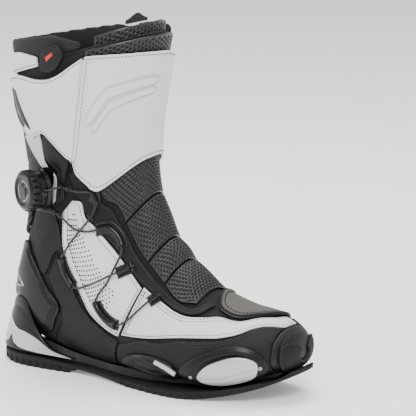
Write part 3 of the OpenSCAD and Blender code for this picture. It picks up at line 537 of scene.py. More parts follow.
class Look:
    """Node tree of one material round a Principled shader."""

    def __init__(self, name, **fixed):
        self.material = bpy.data.materials.new(name)
        self.material.use_nodes = True
        self.tree = self.material.node_tree
        self.shader = self.tree.nodes["Principled BSDF"]
        for key, value in fixed.items():
            self.shader.inputs[key.replace("_", " ").title().replace("Ior", "IOR")
                               ].default_value = value

    def node(self, kind, settings=None, sockets=None, out=0):
        """Any node: its type, settings, the values or wires of its sockets, and the output."""
        node = self.tree.nodes.new(kind)
        for key, value in (settings or {}).items():
            setattr(node, key, value)
        for key, value in (sockets or {}).items():
            if isinstance(value, Wire):
                self.tree.links.new(value.socket, node.inputs[key])
            else:
                node.inputs[key].default_value = value
        return Wire(self, node.outputs[out])

    def place(self, kind="Object"):
        return self.node("ShaderNodeTexCoord", out=kind)

    def parts(self, vector):
        """The x, y and z of a vector."""
        split = self.node("ShaderNodeSeparateXYZ", None, {0: vector}).socket.node
        return [Wire(self, split.outputs[k]) for k in range(3)]

    def number(self, name):
        """A number kept on the mesh under that name."""
        return self.node("ShaderNodeAttribute", {"attribute_name": name}, out="Fac")

    def cloud(self, vector, scale, detail=2., rough=.5):
        return self.node("ShaderNodeTexNoise", None, {"Vector": vector, "Scale": scale,
                                                      "Detail": detail, "Roughness": rough}, "Fac")

    def pebble(self, vector, size, feature="DISTANCE_TO_EDGE"):
        return self.node("ShaderNodeTexVoronoi", {"feature": feature},
                         {"Vector": vector, "Scale": 1 / size}, "Distance")

    def blend(self, share, first, second):
        """Colour from first to second as share goes from 0 to 1."""
        return self.node("ShaderNodeMix", {"data_type": "RGBA"},
                         {0: share, 6: first, 7: second}, 2)

    def feed(self, **wires):
        for key, wire in wires.items():
            self.tree.links.new(wire.socket, self.shader.inputs[key.replace("_", " ").title()])
        return self

    def bump(self, height, depth, strength=1.):
        """Height from 0 to 1 times depth in metres."""
        self.feed(Normal=self.node("ShaderNodeBump", None, {
            "Height": height, "Distance": depth, "Strength": strength}, "Normal"))
        return self


def grey(value, tint=(1, 1, 1)):
    return tuple(value * k for k in tint) + (1.,)


def times(colour, share):
    """A colour made darker or lighter by a share."""
    return tuple(v * share for v in colour) + (1,)


def leather(name, base, shade, worn, grain, rough, gloss=.4, coat=0.):
    """Grained leather: pebbles between fine creases, cloudy colour, scuffed rims, and painted
    shade near black where the piece's number "cell" is set.
    """
    look = Look(name, Specular_Ior_Level=gloss, Coat_Roughness=.3)
    look.shader.inputs["Coat Weight"].default_value = coat
    place = look.place()
    pores = look.pebble(place, grain).ramp(.0, .22)
    cloud = look.cloud(place, 38, 4, .6)
    patch = look.cloud(place, 9, 2)
    rim = look.number("rim")
    scuff = rim * look.cloud(place, 420, 3).ramp(.42, .66) * look.cloud(place, 46, 2).ramp(.4, .66)
    colour = look.blend((cloud * .6 + patch * .7 - .15).ramp(.35, .85) * .6, base, shade)
    colour = look.blend((1 - pores) * .3, colour, shade)
    # the number "cell" blends the colour towards near black: painted shade in sunk grooves and
    # channels
    colour = look.blend(look.number("cell"), look.blend(scuff * .8, colour, worn), grey(.004))
    look.feed(Base_Color=colour, Roughness=cloud * .2 + rough - pores * .06 + scuff * .15)
    wrinkle = look.cloud(place, 130, 3, .6)
    return look.bump(pores * .5 + wrinkle * .6 + look.cloud(place, 1500, 2) * .15,
                     .00035, .8).material


def rubber(name, base, rough=.6, grain=.0009):
    """Moulded rubber: fine sand grain, faint blooming, dust in the low places."""
    look = Look(name, Specular_Ior_Level=.2)
    place = look.place()
    cloud = look.cloud(place, 60, 4, .65)
    rim = look.number("rim")
    colour = look.blend(cloud.ramp(.35, .8), base, tuple(min(1, v * 1.7) for v in base[:3]) + (1,))
    colour = look.blend(rim * cloud * .4, colour, grey(.06))
    look.feed(Base_Color=colour, Roughness=cloud * .22 + rough - .1)
    return look.bump(look.cloud(place, 1 / grain, 2) * .7 + look.cloud(place, 300, 2) * .3,
                     .00014, .7).material


def plastic(name, base, rough=.3, coat=.3, metallic=0., grain=.0011):
    """Moulded plastic: nearly smooth, tiny texture, thin scratches, and painted shade where the
    piece's number "cell" is set.
    """
    look = Look(name, Specular_Ior_Level=.22, Coat_Roughness=.15, Metallic=metallic)
    look.shader.inputs["Coat Weight"].default_value = coat
    place = look.place()
    cloud = look.cloud(place, 75, 3)
    stretch = look.node("ShaderNodeMapping", None, {"Vector": place, "Scale": (900., 60., 700.),
                                                    "Rotation": (.3, .2, .5)})
    scratch = look.cloud(stretch, 1, 2).ramp(.66, .72)
    rim = look.number("rim")
    paler = tuple(min(1, v * 1.35 + .03) for v in base[:3]) + (1,)
    colour = look.blend(rim * .25 + scratch * .08, base, paler)
    # "cell" darkens the colour towards grey(.002): painted shade in the grooves
    look.feed(Base_Color=look.blend(look.number("cell"), colour, grey(.002)),
              Roughness=cloud * .16 + rough - .08 + scratch * .12)
    return look.bump(look.cloud(place, 1 / grain, 2) * .8 + scratch * .2, .00006, .6).material


def cloth(name, base, shade, pitch=.0011, rough=.85, ribs=False):
    """Woven or knitted cloth on the piece's own UV map in metres: two crossed waves, or ribs."""
    look = Look(name, Sheen_Weight=.06, Sheen_Roughness=.5, Specular_Ior_Level=.2)
    u, v, _ = look.parts(look.place("UV"))
    turn = 2 * math.pi / pitch
    warp = (u * turn).maths("SINE")
    weft = (v * turn).maths("SINE")
    weave = (warp * .5 + .5) if ribs else ((warp * weft) * .5 + .5)
    place = look.place()
    cloud = look.cloud(place, 45, 3)
    fuzz = look.cloud(place, 2400, 2)
    look.feed(Base_Color=look.blend(weave * .6 + cloud * .5 - .1, base, shade),
              Roughness=cloud * .1 + rough - .05)
    return look.bump(weave * .8 + fuzz * .3, .0003, .8).material


def cloth_3d(name, base, shade, pitch=.0012, rough=.85):
    """Knit for pieces without a cloth map: crossed waves on Object x, y, z."""
    look = Look(name, Sheen_Weight=.06, Sheen_Roughness=.5, Specular_Ior_Level=.2)
    place = look.place()
    x, y, z = look.parts(place)
    turn = 2 * math.pi / pitch
    weave = ((z * turn).maths("SINE") * ((x + y) * turn).maths("SINE")) * .5 + .5
    cloud = look.cloud(place, 45, 3)
    look.feed(Base_Color=look.blend(weave * .6 + cloud * .4, base, shade),
              Roughness=cloud * .1 + rough - .05)
    return look.bump(weave * .8 + look.cloud(place, 1400, 2) * .3, .0003, .8).material


def mesh_cloth(name, ridge, hollow_shade):
    """Moulded hexagon mesh: glossy ridges, dull cells darkened with painted shade in the hollows,
    from the number kept per point.
    """
    look = Look(name, Specular_Ior_Level=.4, Coat_Roughness=.25)
    place = look.place()
    cell = look.number("cell")
    cloud = look.cloud(place, 140, 3)
    # the hollows blend towards the darker grey: painted shade
    look.feed(Base_Color=look.blend(cell * .85 + cloud * .1, ridge, hollow_shade),
              Roughness=cell * .4 + cloud * .15 + .22, Coat_Weight=(1 - cell) * .25)
    return look.bump(look.cloud(place, 900, 2) + cell * look.cloud(place, 2500, 1),
                     .00012, .6).material


def glass_beads(name):
    """Reflective film: grey, finely pebbled, in cells."""
    look = Look(name, Specular_Ior_Level=.7, Metallic=.25)
    place = look.place()
    grid = look.pebble(place, .003).ramp(.03, .1)
    dust = look.cloud(place, 1800, 1)
    look.feed(Base_Color=look.blend(grid * .7 + dust * .3, grey(.20), grey(.44)),
              Roughness=dust * .2 + .35)
    return look.bump(grid * .6 + dust * .4, .0002, .7).material


def braid(name, base, shade, pitch=.0014):
    """Braided cord on its UV map in metres: u runs along, v round; strands cross at 45 degrees."""
    look = Look(name, Sheen_Weight=.2, Specular_Ior_Level=.4)
    u, v, _ = look.parts(look.place("UV"))
    turn = 2 * math.pi / pitch
    strands = ((u + v) * turn).maths("SINE") * ((u - v) * turn).maths("SINE") * .5 + .5
    look.feed(Base_Color=look.blend(strands, base, shade), Roughness=strands * .2 + .45)
    return look.bump(strands, .0002, .8).material


MATERIALS = {}


def make_materials(settings):
    """All finishes of the boot, named for the record's slots where they stand for one."""
    bright, dark = tuple(settings.leather_light), tuple(settings.leather_black)
    light, black = bright + (1.,), dark + (1.,)
    make = {
        "silver_leather": lambda: leather("silver_leather", light, times(bright, .8),
                                          grey(.42), .0011, .42),
        "plate_silver": lambda: leather("plate_silver", light, times(bright, .88),
                                        grey(.5), .0008, .36, coat=.12),
        "silver_plastic": lambda: plastic("silver_plastic", times(bright, .62), .34, .1, .4),
        "black_leather": lambda: leather("black_leather", black, times(dark, 1.9),
                                         grey(.05), .0012, .44, .22),
        "toe_rubber": lambda: leather("toe_rubber", black, times(dark, 1.6),
                                      grey(.06), .0016, .38, .26, .05),
        "sole_rubber": lambda: rubber("sole_rubber", grey(.007), .62),
        "black_plastic": lambda: plastic("black_plastic", grey(.0035), .38, .03),
        "dial_plastic": lambda: plastic("dial_plastic", grey(.0035), .3, .2),
        "spool_grey": lambda: plastic("spool_grey", grey(.3), .4, .1),
        "screw_steel": lambda: plastic("screw_steel", grey(.35), .3, 0., 1.),
        # the second grey is the painted shade in the mesh's hollows
        "instep_mesh": lambda: mesh_cloth("instep_mesh", grey(.008), grey(.0008)),
        "shift_textile": lambda: cloth("shift_textile", grey(.045, (1.05, 1.02, .9)),
                                       grey(.14, (1.05, 1.02, .9)), .0013),
        "reflective": lambda: glass_beads("reflective"),
        "hook_loop": lambda: cloth("hook_loop", grey(.006), grey(.02), .0009, .95),
        "lace_cord": lambda: braid("lace_cord", grey(.004), grey(.02)),
        "webbing": lambda: cloth("webbing", grey(.008), grey(.025), .0012, .8, True),
        "base_fabric": lambda: cloth("base_fabric", grey(.006), grey(.016), .0012, .85),
        "lining": lambda: cloth("lining", grey(.01), grey(.03), .0016, .92),
        "soft_knit": lambda: cloth_3d("soft_knit", grey(.007), grey(.022)),
        "sole_board": lambda: rubber("sole_board", grey(.03), .7),
        "thread_black": lambda: plastic("thread_black", grey(.02), .55, 0.),
        "thread_grey": lambda: plastic("thread_grey", grey(.12), .6, 0.),
        "hole_black": lambda: rubber("hole_black", grey(.002), .8),
        "red_mark": lambda: rubber("red_mark", (.42, .015, .02, 1), .5),
    }
    for name, maker in make.items():
        MATERIALS[name] = maker()


def finish(piece, body, finish_name, slot_name="", *nodes):
    """Gives a piece its finish, hides the CAD nodes it stands for and puts it on its body; a
    piece round the ankle is only baked in place, on no body. slot_name is not used."""
    if not piece.data.materials:
        piece.data.materials.append(MATERIALS[finish_name])
    if nodes:
        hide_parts(*nodes)
    if body == "ankle":
        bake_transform(piece)
    else:
        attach(piece, body)
    return piece


def join(name, pieces):
    """One object from several meshes."""
    for other in bpy.context.view_layer.objects:
        other.select_set(False)
    for piece in pieces:
        piece.select_set(True)
    bpy.context.view_layer.objects.active = pieces[0]
    if len(pieces) > 1:
        bpy.ops.object.join()
    pieces[0].name = pieces[0].data.name = name
    return pieces[0]


# ---------------------------------------------------------------- seams
def stitches(name, seams, step=3.1, length=2.3, width=.85, rise=.38):
    """Rows of thread beads along seams, each a path of [station, angle] rows and a height."""
    made = []
    for path, height in seams:
        path = np.asarray(path, float)
        probe = smooth(path, np.linspace(0, len(path) - 1, 240))
        made.append(beads(name, over(probe[:, 0], probe[:, 1], np.full(240, height)),
                          outward(probe[:, 0], probe[:, 1]), step, length, width, rise))
    return face_out(join(name, made))


def beside(rows, side, inset, start=0., end=1.):
    """Path a few mm inside one long edge of a panel: side 0 or 1, between two shares of its
    length."""
    rows = np.asarray(rows, float)
    edge = smooth(rows, np.linspace(start, end, 60) * (len(rows) - 1))
    first, second = edge[:, :2], edge[:, 2:]
    f = np.linspace(0, 1, 12)[None, :, None]
    line = first[:, None] + (second - first)[:, None] * f
    width = np.linalg.norm(np.diff(skin(line[..., 0], line[..., 1]), axis=1), axis=-1).sum(1)
    share = np.clip(inset / np.maximum(width, 1), 0, .5)[:, None]
    share = 1 - share if side else share
    return first + (second - first) * share


def across(rows, end, inset):
    """Path a few mm inside one short edge of a panel: end 0 or 1."""
    rows = np.asarray(rows, float)
    n = len(rows) - 1
    a, b = smooth(rows, np.array([1., .95] if end else [0., .05]) * n)
    mid = np.linalg.norm(skin(*((b[:2] + b[2:]) / 2)) - skin(*((a[:2] + a[2:]) / 2)))
    share = inset / max(mid, .1)
    edge = a + (b - a) * share
    f = np.linspace(.04, .96, 30)[:, None]
    return edge[:2] + (edge[2:] - edge[:2]) * f


def hexagons(u, v, pitch, ridge):
    """Share of a hexagon's hollow at a place: 0 on the ridges, 1 in the middle of a cell. The
    distance across flats is taken to the nearer of two offset square rows of centres."""
    root = math.sqrt(3)
    best = np.full(u.shape, 1e9)
    metric = np.zeros(u.shape)
    for shift in (0, .5):
        x = (u / pitch - shift + .5) % 1 - .5
        y = ((v / (pitch * root) - shift + .5) % 1 - .5) * root
        d = x * x + y * y
        m = np.maximum(np.abs(x), np.abs(x) / 2 + np.abs(y) * root / 2)
        metric = np.where(d < best, m, metric)
        best = np.minimum(best, d)
    f = np.clip((.5 - metric) * pitch / ridge - .35, 0, 1)
    return f * f * (3 - 2 * f)


# ---------------------------------------------------------------- sizes a user may change
class BootSizes(bpy.types.PropertyGroup):
    leather_light: bpy.props.FloatVectorProperty(
        name="Light leather", description="Colour of the silver leather", subtype="COLOR",
        default=(.74, .74, .755), min=0, max=1)
    leather_black: bpy.props.FloatVectorProperty(
        name="Black leather", description="Colour of the black leather", subtype="COLOR",
        default=(.0045, .0045, .0048), min=0, max=1)
    mesh_pitch: bpy.props.FloatProperty(
        name="Mesh pitch", description="Width of a hexagon of the instep mesh", subtype="DISTANCE",
        unit="LENGTH", default=.0043, min=.002, max=.01)
    mesh_depth: bpy.props.FloatProperty(
        name="Mesh depth", description="Depth of a hexagon of the instep mesh", subtype="DISTANCE",
        unit="LENGTH", default=.0009, min=.0002, max=.002)
    stitch_step: bpy.props.FloatProperty(
        name="Stitch step", description="Distance from stitch to stitch", subtype="DISTANCE",
        unit="LENGTH", default=.0031, min=.002, max=.006)


def sizes():
    return bpy.context.scene.boot_sizes


class Piece:
    """What the piece operators share."""
    bl_options = {"REGISTER", "UNDO"}

    def execute(self, context):
        self.build(context.scene.boot_sizes)
        return {"FINISHED"}


# ---------------------------------------------------------------- sole and heel
WALL = np.array([
    [5.3, 8.35, 158], [4.6, 8.8, 155], [3.6, 9.5, 150], [2.6, 10.05, 150], [1.6, 10.45, 158],
    [.8, 10.6, 169], [0, 10.65, 180], [-.8, 10.6, 191], [-1.6, 10.45, 202], [-2.6, 10.05, 210],
    [-3.6, 9.5, 210], [-4.6, 8.8, 205], [-5.3, 8.35, 202]], float)
WALL_FOOT = 13.4
TREAD_PITCH = 8.04
# from the underside of the upper down to the top of the outsole
SOLE_DROP = 1.6 + .4 + 2.6


def under(x):
    """Level of the underside of the upper."""
    return np.interp(x, UNDERSIDE[:, 0], UNDERSIDE[:, 1])


def tread(x):
    """Level of the tread: a parabola up to the toe and up to the heel's edge, an arch between."""
    toe = 25 * ((np.maximum(x, 50) - 50) / 103) ** 2
    heel = 5 * ((np.maximum(-125 - x, 0)) / 27.5) ** 2
    arch = 5 * np.clip((x + 66) / 5, 0, 1) * (np.clip(-x, 0, None) / 61) ** .7
    return toe + heel + np.where((x > -66) & (x < 0), arch, 0)


def sole_section():
    """Outsole: along the outline, rings of points go down the side, under and up again; the
    sides have teeth at heel and ball, and the tread has angled ribs, both a clipped sine of x."""
    n = 620
    u = np.linspace(0, 14, n)
    out = smooth(OUTLINE, u)
    x = out[:, :1]
    right, left = -out[:, 1:2], out[:, 2:3]
    top = under(x) - SOLE_DROP - np.clip((x - 124) * .16, 0, 2)
    low = tread(x)
    tall = top - low
    f = np.array([0, .04, .12, .25, .4, .55, .7, .85, .95, 1.])
    down = 1 - f[None]
    biting = np.where((x < -64) | (x > -6), 1., 0.)
    tooth = np.clip(np.sin(2 * np.pi * (x + .4) / TREAD_PITCH) * 3, -1, 1) * .5 + .5
    step = biting * (1 - tooth) * np.clip(1.15 - np.abs(down - .28) * 2.4, 0, 1) * 1.5
    bulge = .5 - 1.6 * np.clip(f[None] - .88, 0, 1) / .12
    inset = .4 + step - bulge * .3
    z_side = low + tall * down
    side_l = np.stack([x + 0 * down, right + inset, z_side], -1)
    side_r = np.stack([x + 0 * down, left - inset, z_side], -1)
    g = np.linspace(0, 1, 44)[1:-1][None]
    y = right + inset[:, -1:] + 1.1 + (left - right - 2 * inset[:, -1:] - 2.2) * g
    mid = (right + left) / 2
    angle = x + np.abs(y - mid) * .42
    rib = np.clip(np.sin(2 * np.pi * (angle + 3.2) / TREAD_PITCH) * 4, -1, 1) * .5 + .5
    channel = 1 - np.clip(1.5 - np.abs(y - mid) / 1.6, 0, 1)
    rib = np.where(biting > .5, 1 - rib * channel, .3 * (1 - rib))
    flat = np.clip(4 - (np.abs(x) / 1.6), 0, 1)
    rise = (1.2 * rib) * (1 - flat * (np.abs(y - mid) < 8))
    bottom = np.stack([x + 0 * y, y, low + rise], -1)
    h = np.linspace(0, 1, 6)[1:-1][None]
    lid = np.stack([x + 0 * h, left - 2.2 + (right - left + 4.4) * h, top + 0 * h], -1)
    return np.concatenate([side_l, bottom, side_r[:, ::-1], lid], 1)


def solid_ring(name, ring, values=None):
    """Closed solid from rings of points one after another, with a fan at each end."""
    rows, columns = ring.shape[:2]
    ends = [ring[0].mean(0), ring[-1].mean(0)]
    points = np.concatenate([ring.reshape(-1, 3), ends])
    both = {key: np.concatenate([np.ravel(v), [0, 0]]) for key, v in (values or {}).items()}
    return face_out(raw_mesh(name, points, cells(rows, columns, True),
                             end_fans(rows, columns), both))


def wall_grid(spans, rows, columns, lift, thick):
    """Wall from the sole's outline up to the body: straight lines between both, moved outward
    from the heel's middle by lift; spans hold [row of the wall, low share, high share]."""
    spans = np.asarray(spans, float)
    s = smooth(spans, np.linspace(0, 1, rows) * (len(spans) - 1))
    place = smooth(WALL, s[:, 0])
    side = smooth(OUTLINE, np.abs(place[:, 0]))
    foot = np.stack([side[:, 0], np.where(place[:, 0] >= 0, -side[:, 1], side[:, 2]),
                     np.full(rows, WALL_FOOT)], -1)
    foot[:, 1] *= np.clip(np.abs(place[:, 0]) * 8, 0, 1)
    head = over(place[:, 1], place[:, 2], np.full(rows, 3.5))
    out = unit(foot - np.array([-70, 0, WALL_FOOT]))
    v = s[:, 1:2] + (s[:, 2:] - s[:, 1:2]) * spaced(columns, 26, 1.2)[None]
    line = foot[:, None] + (head - foot)[:, None] * v[..., None]
    near, du, dv = rim_distance(line)
    rise = lift(s[:, :1] + 0 * v, v, near) if callable(lift) else lift - rounded(near, .8)
    return (line + out[:, None] * rise[..., None], line + out[:, None] * thick,
            {"rim": np.exp(-near / 1.2)}, np.stack([du, dv], -1) * MM)


class BOOT_OT_sole(Piece, bpy.types.Operator):
    """Outsole with its teeth and ribs, heel cup and silver heel insert"""
    bl_idname = "boot.sole"
    bl_label = "Sole"

    def build(self, size):
        ring = sole_section()
        finish(solid_ring("outsole_rubber", ring), "foot", "sole_rubber", "sole_rubber", "outsole")
        cup = [[0, 0, .15], [1, 0, .35], [2, 0, .7], [3, 0, .95], [4, 0, 1], [5, 0, 1], [6, 0, 1],
               [7, 0, 1], [8, 0, 1], [9, 0, .95], [10, 0, .7], [11, 0, .35], [12, 0, .15]]
        top, low, values, flat = wall_grid(
            cup, 180, 26, lambda s, v, near: .5 + .5 * np.sin(v * np.pi) - rounded(near, .9)
            - .6 * np.exp(-((v - .82) / .03) ** 2), -2.2)
        finish(shell("heel_cup_rubber", top, low, values=values, flat=flat),
               "foot", "black_plastic", "black_plastic", "heel_cup")
        wedge = [[.25, .05, .12], [.6, .05, .26], [1, .05, .31], [1.7, .05, .48], [2.4, .07, .48],
                 [2.9, .14, .44], [3.3, .28, .46], [3.55, .12, .5], [3.85, .13, .54],
                 [4.2, .2, .6]]
        top, low, values, flat = wall_grid(
            wedge, 110, 22, lambda s, v, near: 2.1 - rounded(near, .9)
            - .8 * np.exp(-((s - 2.75) / .05) ** 2), .3)
        finish(shell("heel_insert_silver", top, low, values=values, flat=flat),
               "foot", "silver_plastic", "silver_plastic", "heel_insert")


class BOOT_OT_heel(Piece, bpy.types.Operator):
    """Heel counter with its grooves, reflector and the ribs over the tendon"""
    bl_idname = "boot.heel"
    bl_label = "Heel"

    def build(self, size):
        rows = [[9.3, 124, 9.95, 123], [9.12, 130, 10.3, 127], [9.1, 140, 11, 140],
                [9.05, 150, 11.75, 150], [9.3, 162, 12.1, 162], [9.7, 180, 12.15, 180],
                [9.3, 198, 12.1, 198], [9.05, 210, 11.75, 210], [9.1, 220, 11, 220],
                [9.12, 230, 10.3, 233], [9.3, 236, 9.95, 237]]

        def moulding(t, a, near, u, v):
            side = (np.abs(a - 180) > 24) & (t < 11.5)
            lines = (groove(near, 3.2, .5, 1.) + groove(near, 5.4, .5, 1.)
                     + groove(near, 7.4, .5, .8))
            # "cell" paints shade into the three grooves on the counter's sides
            return lines * side, {"cell": np.clip(-lines * side, 0, 1) * .6}
        finish(panel("heel_counter_shell", rows, PANEL_LOW, PANEL_TOP + .9, .8, .4, 1.1, moulding),
               "foot", "black_plastic", "black_plastic", "heel_counter")
        mark = [[10.75, 166, 10.9, 162], [10.72, 172, 11, 171], [10.7, 180, 11.05, 180],
                [10.72, 188, 11, 189], [10.75, 194, 10.9, 198]]
        finish(panel("heel_reflector_film", mark, OVER_LOW + .6, OVER_LOW + 2.0, .9, .3, .5),
               "foot", "reflective", "reflective", "heel_reflector")
        rows = [[10.25, 165, 10.4, 163], [10.15, 172, 10.32, 172], [10.1, 180, 10.28, 180],
                [10.15, 188, 10.32, 188], [10.25, 195, 10.4, 197]]
        finish(panel("heel_chevron_0", rows, PANEL_LOW, PANEL_TOP + 1.5, .9, .2, .5),
               "foot", "reflective", "reflective")
        for k, rows in enumerate(([[11.35, 165, 11.42, 167.5], [10.95, 158.5, 11.05, 161],
                                   [10.5, 151, 10.56, 153.5]],
                                  [[10.9, 166.5, 11.0, 167.5], [10.72, 160, 10.82, 161.5],
                                   [10.5, 151, 10.54, 152.5]])):
            finish(panel("heel_side_mark_%d" % k, rows, PANEL_LOW, PANEL_TOP + 1.5, .7, .2, .4),
                   "foot", "reflective", "reflective")
        ribs = []
        for i in range(4):
            t = 12.4 + .22 * i
            ribs.append(panel("rib", [[t, 148, t + .16, 148], [t, 164, t + .16, 164],
                                      [t, 180, t + .16, 180], [t, 196, t + .16, 196],
                                      [t, 212, t + .16, 212]],
                              PANEL_LOW, PANEL_TOP + .9, .9, .5, 1.2))
        finish(join("achilles_bellows", ribs), "ankle", "black_leather", "black_leather",
               "achilles_ribs")


# ---------------------------------------------------------------- toe and guards
VAMP = [[7.05, 92, 6.98, 41], [6.7, 88, 6.5, 45], [6.1, 82, 6.05, 49], [5.6, 77, 5.6, 52.5],
        [5.1, 73, 5.15, 53], [4.5, 70, 4.6, 48], [3.8, 67, 4.2, 42], [3.2, 61, 3.45, 42],
        [2.65, 44, 2.95, 22], [2, 22, 2.62, 2], [1.9, -5, 2.55, -12], [1.95, -34, 2.5, -32]]
RAND_OUT = [[7.05, 104, 7.05, 133], [6.5, 89, 6.5, 130], [6, 85, 6, 127], [5.1, 76, 5.1, 125],
            [4.4, 73, 4.4, 124], [3.8, 70, 3.8, 124], [3.2, 64, 3.2, 124], [2.65, 48, 2.5, 126],
            [1.9, 24, 1.9, 130]]
RAND_IN = [[1.9, -36, 1.9, -130], [2.5, -48, 2.5, -126], [3.2, -76, 3.2, -124],
           [3.8, -94, 3.8, -124], [4.6, -97, 4.6, -124], [5.4, -90, 5.4, -125]]
SHIFT_RING = [[4.95, -8], [4.7, 14], [4.35, 31], [3.6, 37], [3.05, 22], [2.75, -2], [2.65, -35],
              [2.95, -66], [3.6, -86], [4.5, -90], [5.15, -78], [5.35, -52], [4.98, -28]]


class BOOT_OT_toe(Piece, bpy.types.Operator):
    """Toe cap, bumper, rands, vamp and shift pad with their seams"""
    bl_idname = "boot.toe"
    bl_label = "Toe"

    def build(self, size):
        step = size.stitch_step / MM
        cap = sleeve("toe_cap_leather", .1, 1.84, PANEL_LOW, PANEL_TOP, 46, 150, .35,
                     lambda t, a: .25 * np.sin((t - .1) / 1.74 * np.pi)
                     - rounded((1.84 - t) * 18, 1.) - .35 * np.exp(-((t - 1.5) / .05) ** 2)
                     * (np.cos(np.radians(a)) > -.2))
        finish(cap, "foot", "toe_rubber", "toe_rubber", "toe_cap")
        bumper = [[.35, 40, .35, 300], [.8, 48, .8, 300], [1.2, 60, 1.2, 298], [1.5, 72, 1.5, 290]]
        finish(panel("toe_bumper_rubber", bumper, OVER_LOW, OVER_LOW + 2.6, .9, .5, 1.3,
                     lambda t, a, near, u, v: (groove(near, 3.6, .55, .8), {})),
               "foot", "sole_rubber", "toe_rubber", "toe_bumper")

        def soft_folds(t, a, near, u, v):
            fold = .35 * np.sin(t * 5.2 + a * .03) * np.exp(-((t - 5.2) / 1.5) ** 2)
            return fold * np.clip(near / 8, 0, 1), {}
        for name, rows, node in (("rand_outer_leather", RAND_OUT, "rand_lateral"),
                                 ("rand_inner_leather", RAND_IN, "rand_medial")):
            finish(panel(name, rows, PANEL_LOW, PANEL_TOP, 1.3, .3, .8, soft_folds),
                   "foot", "black_leather", "black_leather", node)

        def creases(t, a, near, u, v):
            fold = (-.5 * np.exp(-((t - 5.35 - .012 * (a - 60)) / .09) ** 2)
                    - .4 * np.exp(-((t - 5.95 - .010 * (a - 60)) / .08) ** 2)
                    - .3 * np.exp(-((t - 4.75 - .014 * (a - 60)) / .08) ** 2))
            seam = groove(near, 3.4, .35, .3) * (t > 2.9)
            return fold * np.clip(near / 6, 0, 1) + seam, {}
        finish(panel("vamp_leather", VAMP, PANEL_LOW, PANEL_TOP, .9, .35, .8, creases),
               "ankle", "silver_leather", "silver_leather", "vamp")
        rows = [(beside(VAMP, 1, 2.2, .02, .98), PANEL_TOP + .02),
                (beside(VAMP, 1, 5.0, .02, .62), PANEL_TOP + .05),
                (beside(VAMP, 0, 2.2, .02, .98), PANEL_TOP + .02)]
        finish(stitches("vamp_thread", rows, step), "ankle", "thread_grey")
        rows = [(beside(RAND_OUT, 0, 2.0, .01, .99), PANEL_TOP + .02),
                (beside(RAND_OUT, 0, 4.6, .01, .99), PANEL_TOP + .05),
                (beside(RAND_IN, 0, 2.0, .01, .99), PANEL_TOP + .02)]
        finish(stitches("rand_thread", rows, step), "foot", "thread_black")

        def pad_face(t, a, near, r, v):
            field = np.clip((near - 4.2) / .8, 0, 1)
            rib = .25 * np.sin((t * 22 + a * .12) * 2.6) * field
            piping = 1.0 * np.exp(-((near - 2.1) / 1.3) ** 2)
            return piping + rib - .25 * field, {"cell": 1 - field}
        pad = island("shift_pad_textile", [4, -28], SHIFT_RING, OVER_LOW, OVER_LOW + 1.2,
                     .5, .8, .9, pad_face)
        finish(pad, "foot", "shift_textile", "shift_textile", "shift_pad")
        probe = closed_ring(SHIFT_RING, 260)
        pipe = over(probe[:, 0] + (4 - probe[:, 0]) * .03, probe[:, 1] + (-28 - probe[:, 1]) * .03,
                    np.full(260, OVER_LOW + 1.3))
        finish(loop_tube("shift_pad_piping", pipe, outward(probe[:, 0], probe[:, 1]), 1.35, 8),
               "foot", "black_leather", "black_leather")
        inner = np.array([4, -28]) + (np.array(SHIFT_RING) - [4, -28]) * .86
        inner = np.concatenate([inner, inner[:1]])
        finish(stitches("shift_pad_thread", [(inner, OVER_LOW + 1.75)], step), "foot",
               "thread_black")


def loop_tube(name, points, up, radius, sides):
    """Ring-shaped rod along a closed line of points."""
    tangent = unit(np.roll(points, -1, 0) - np.roll(points, 1, 0))
    side = unit(np.cross(tangent, up))
    top = np.cross(side, tangent)
    w = np.linspace(0, 2 * np.pi, sides, endpoint=False)
    grid = points[:, None] + radius * (side[:, None] * np.cos(w)[None, :, None]
                                       + top[:, None] * np.sin(w)[None, :, None])
    n = len(points)
    i, j = np.meshgrid(np.arange(n), np.arange(sides), indexing="ij")
    k, m = (i + 1) % n, (j + 1) % sides
    quads = np.stack([i * sides + j, k * sides + j, k * sides + m, i * sides + m], -1)
    return face_out(raw_mesh(name, grid.reshape(-1, 3), quads))


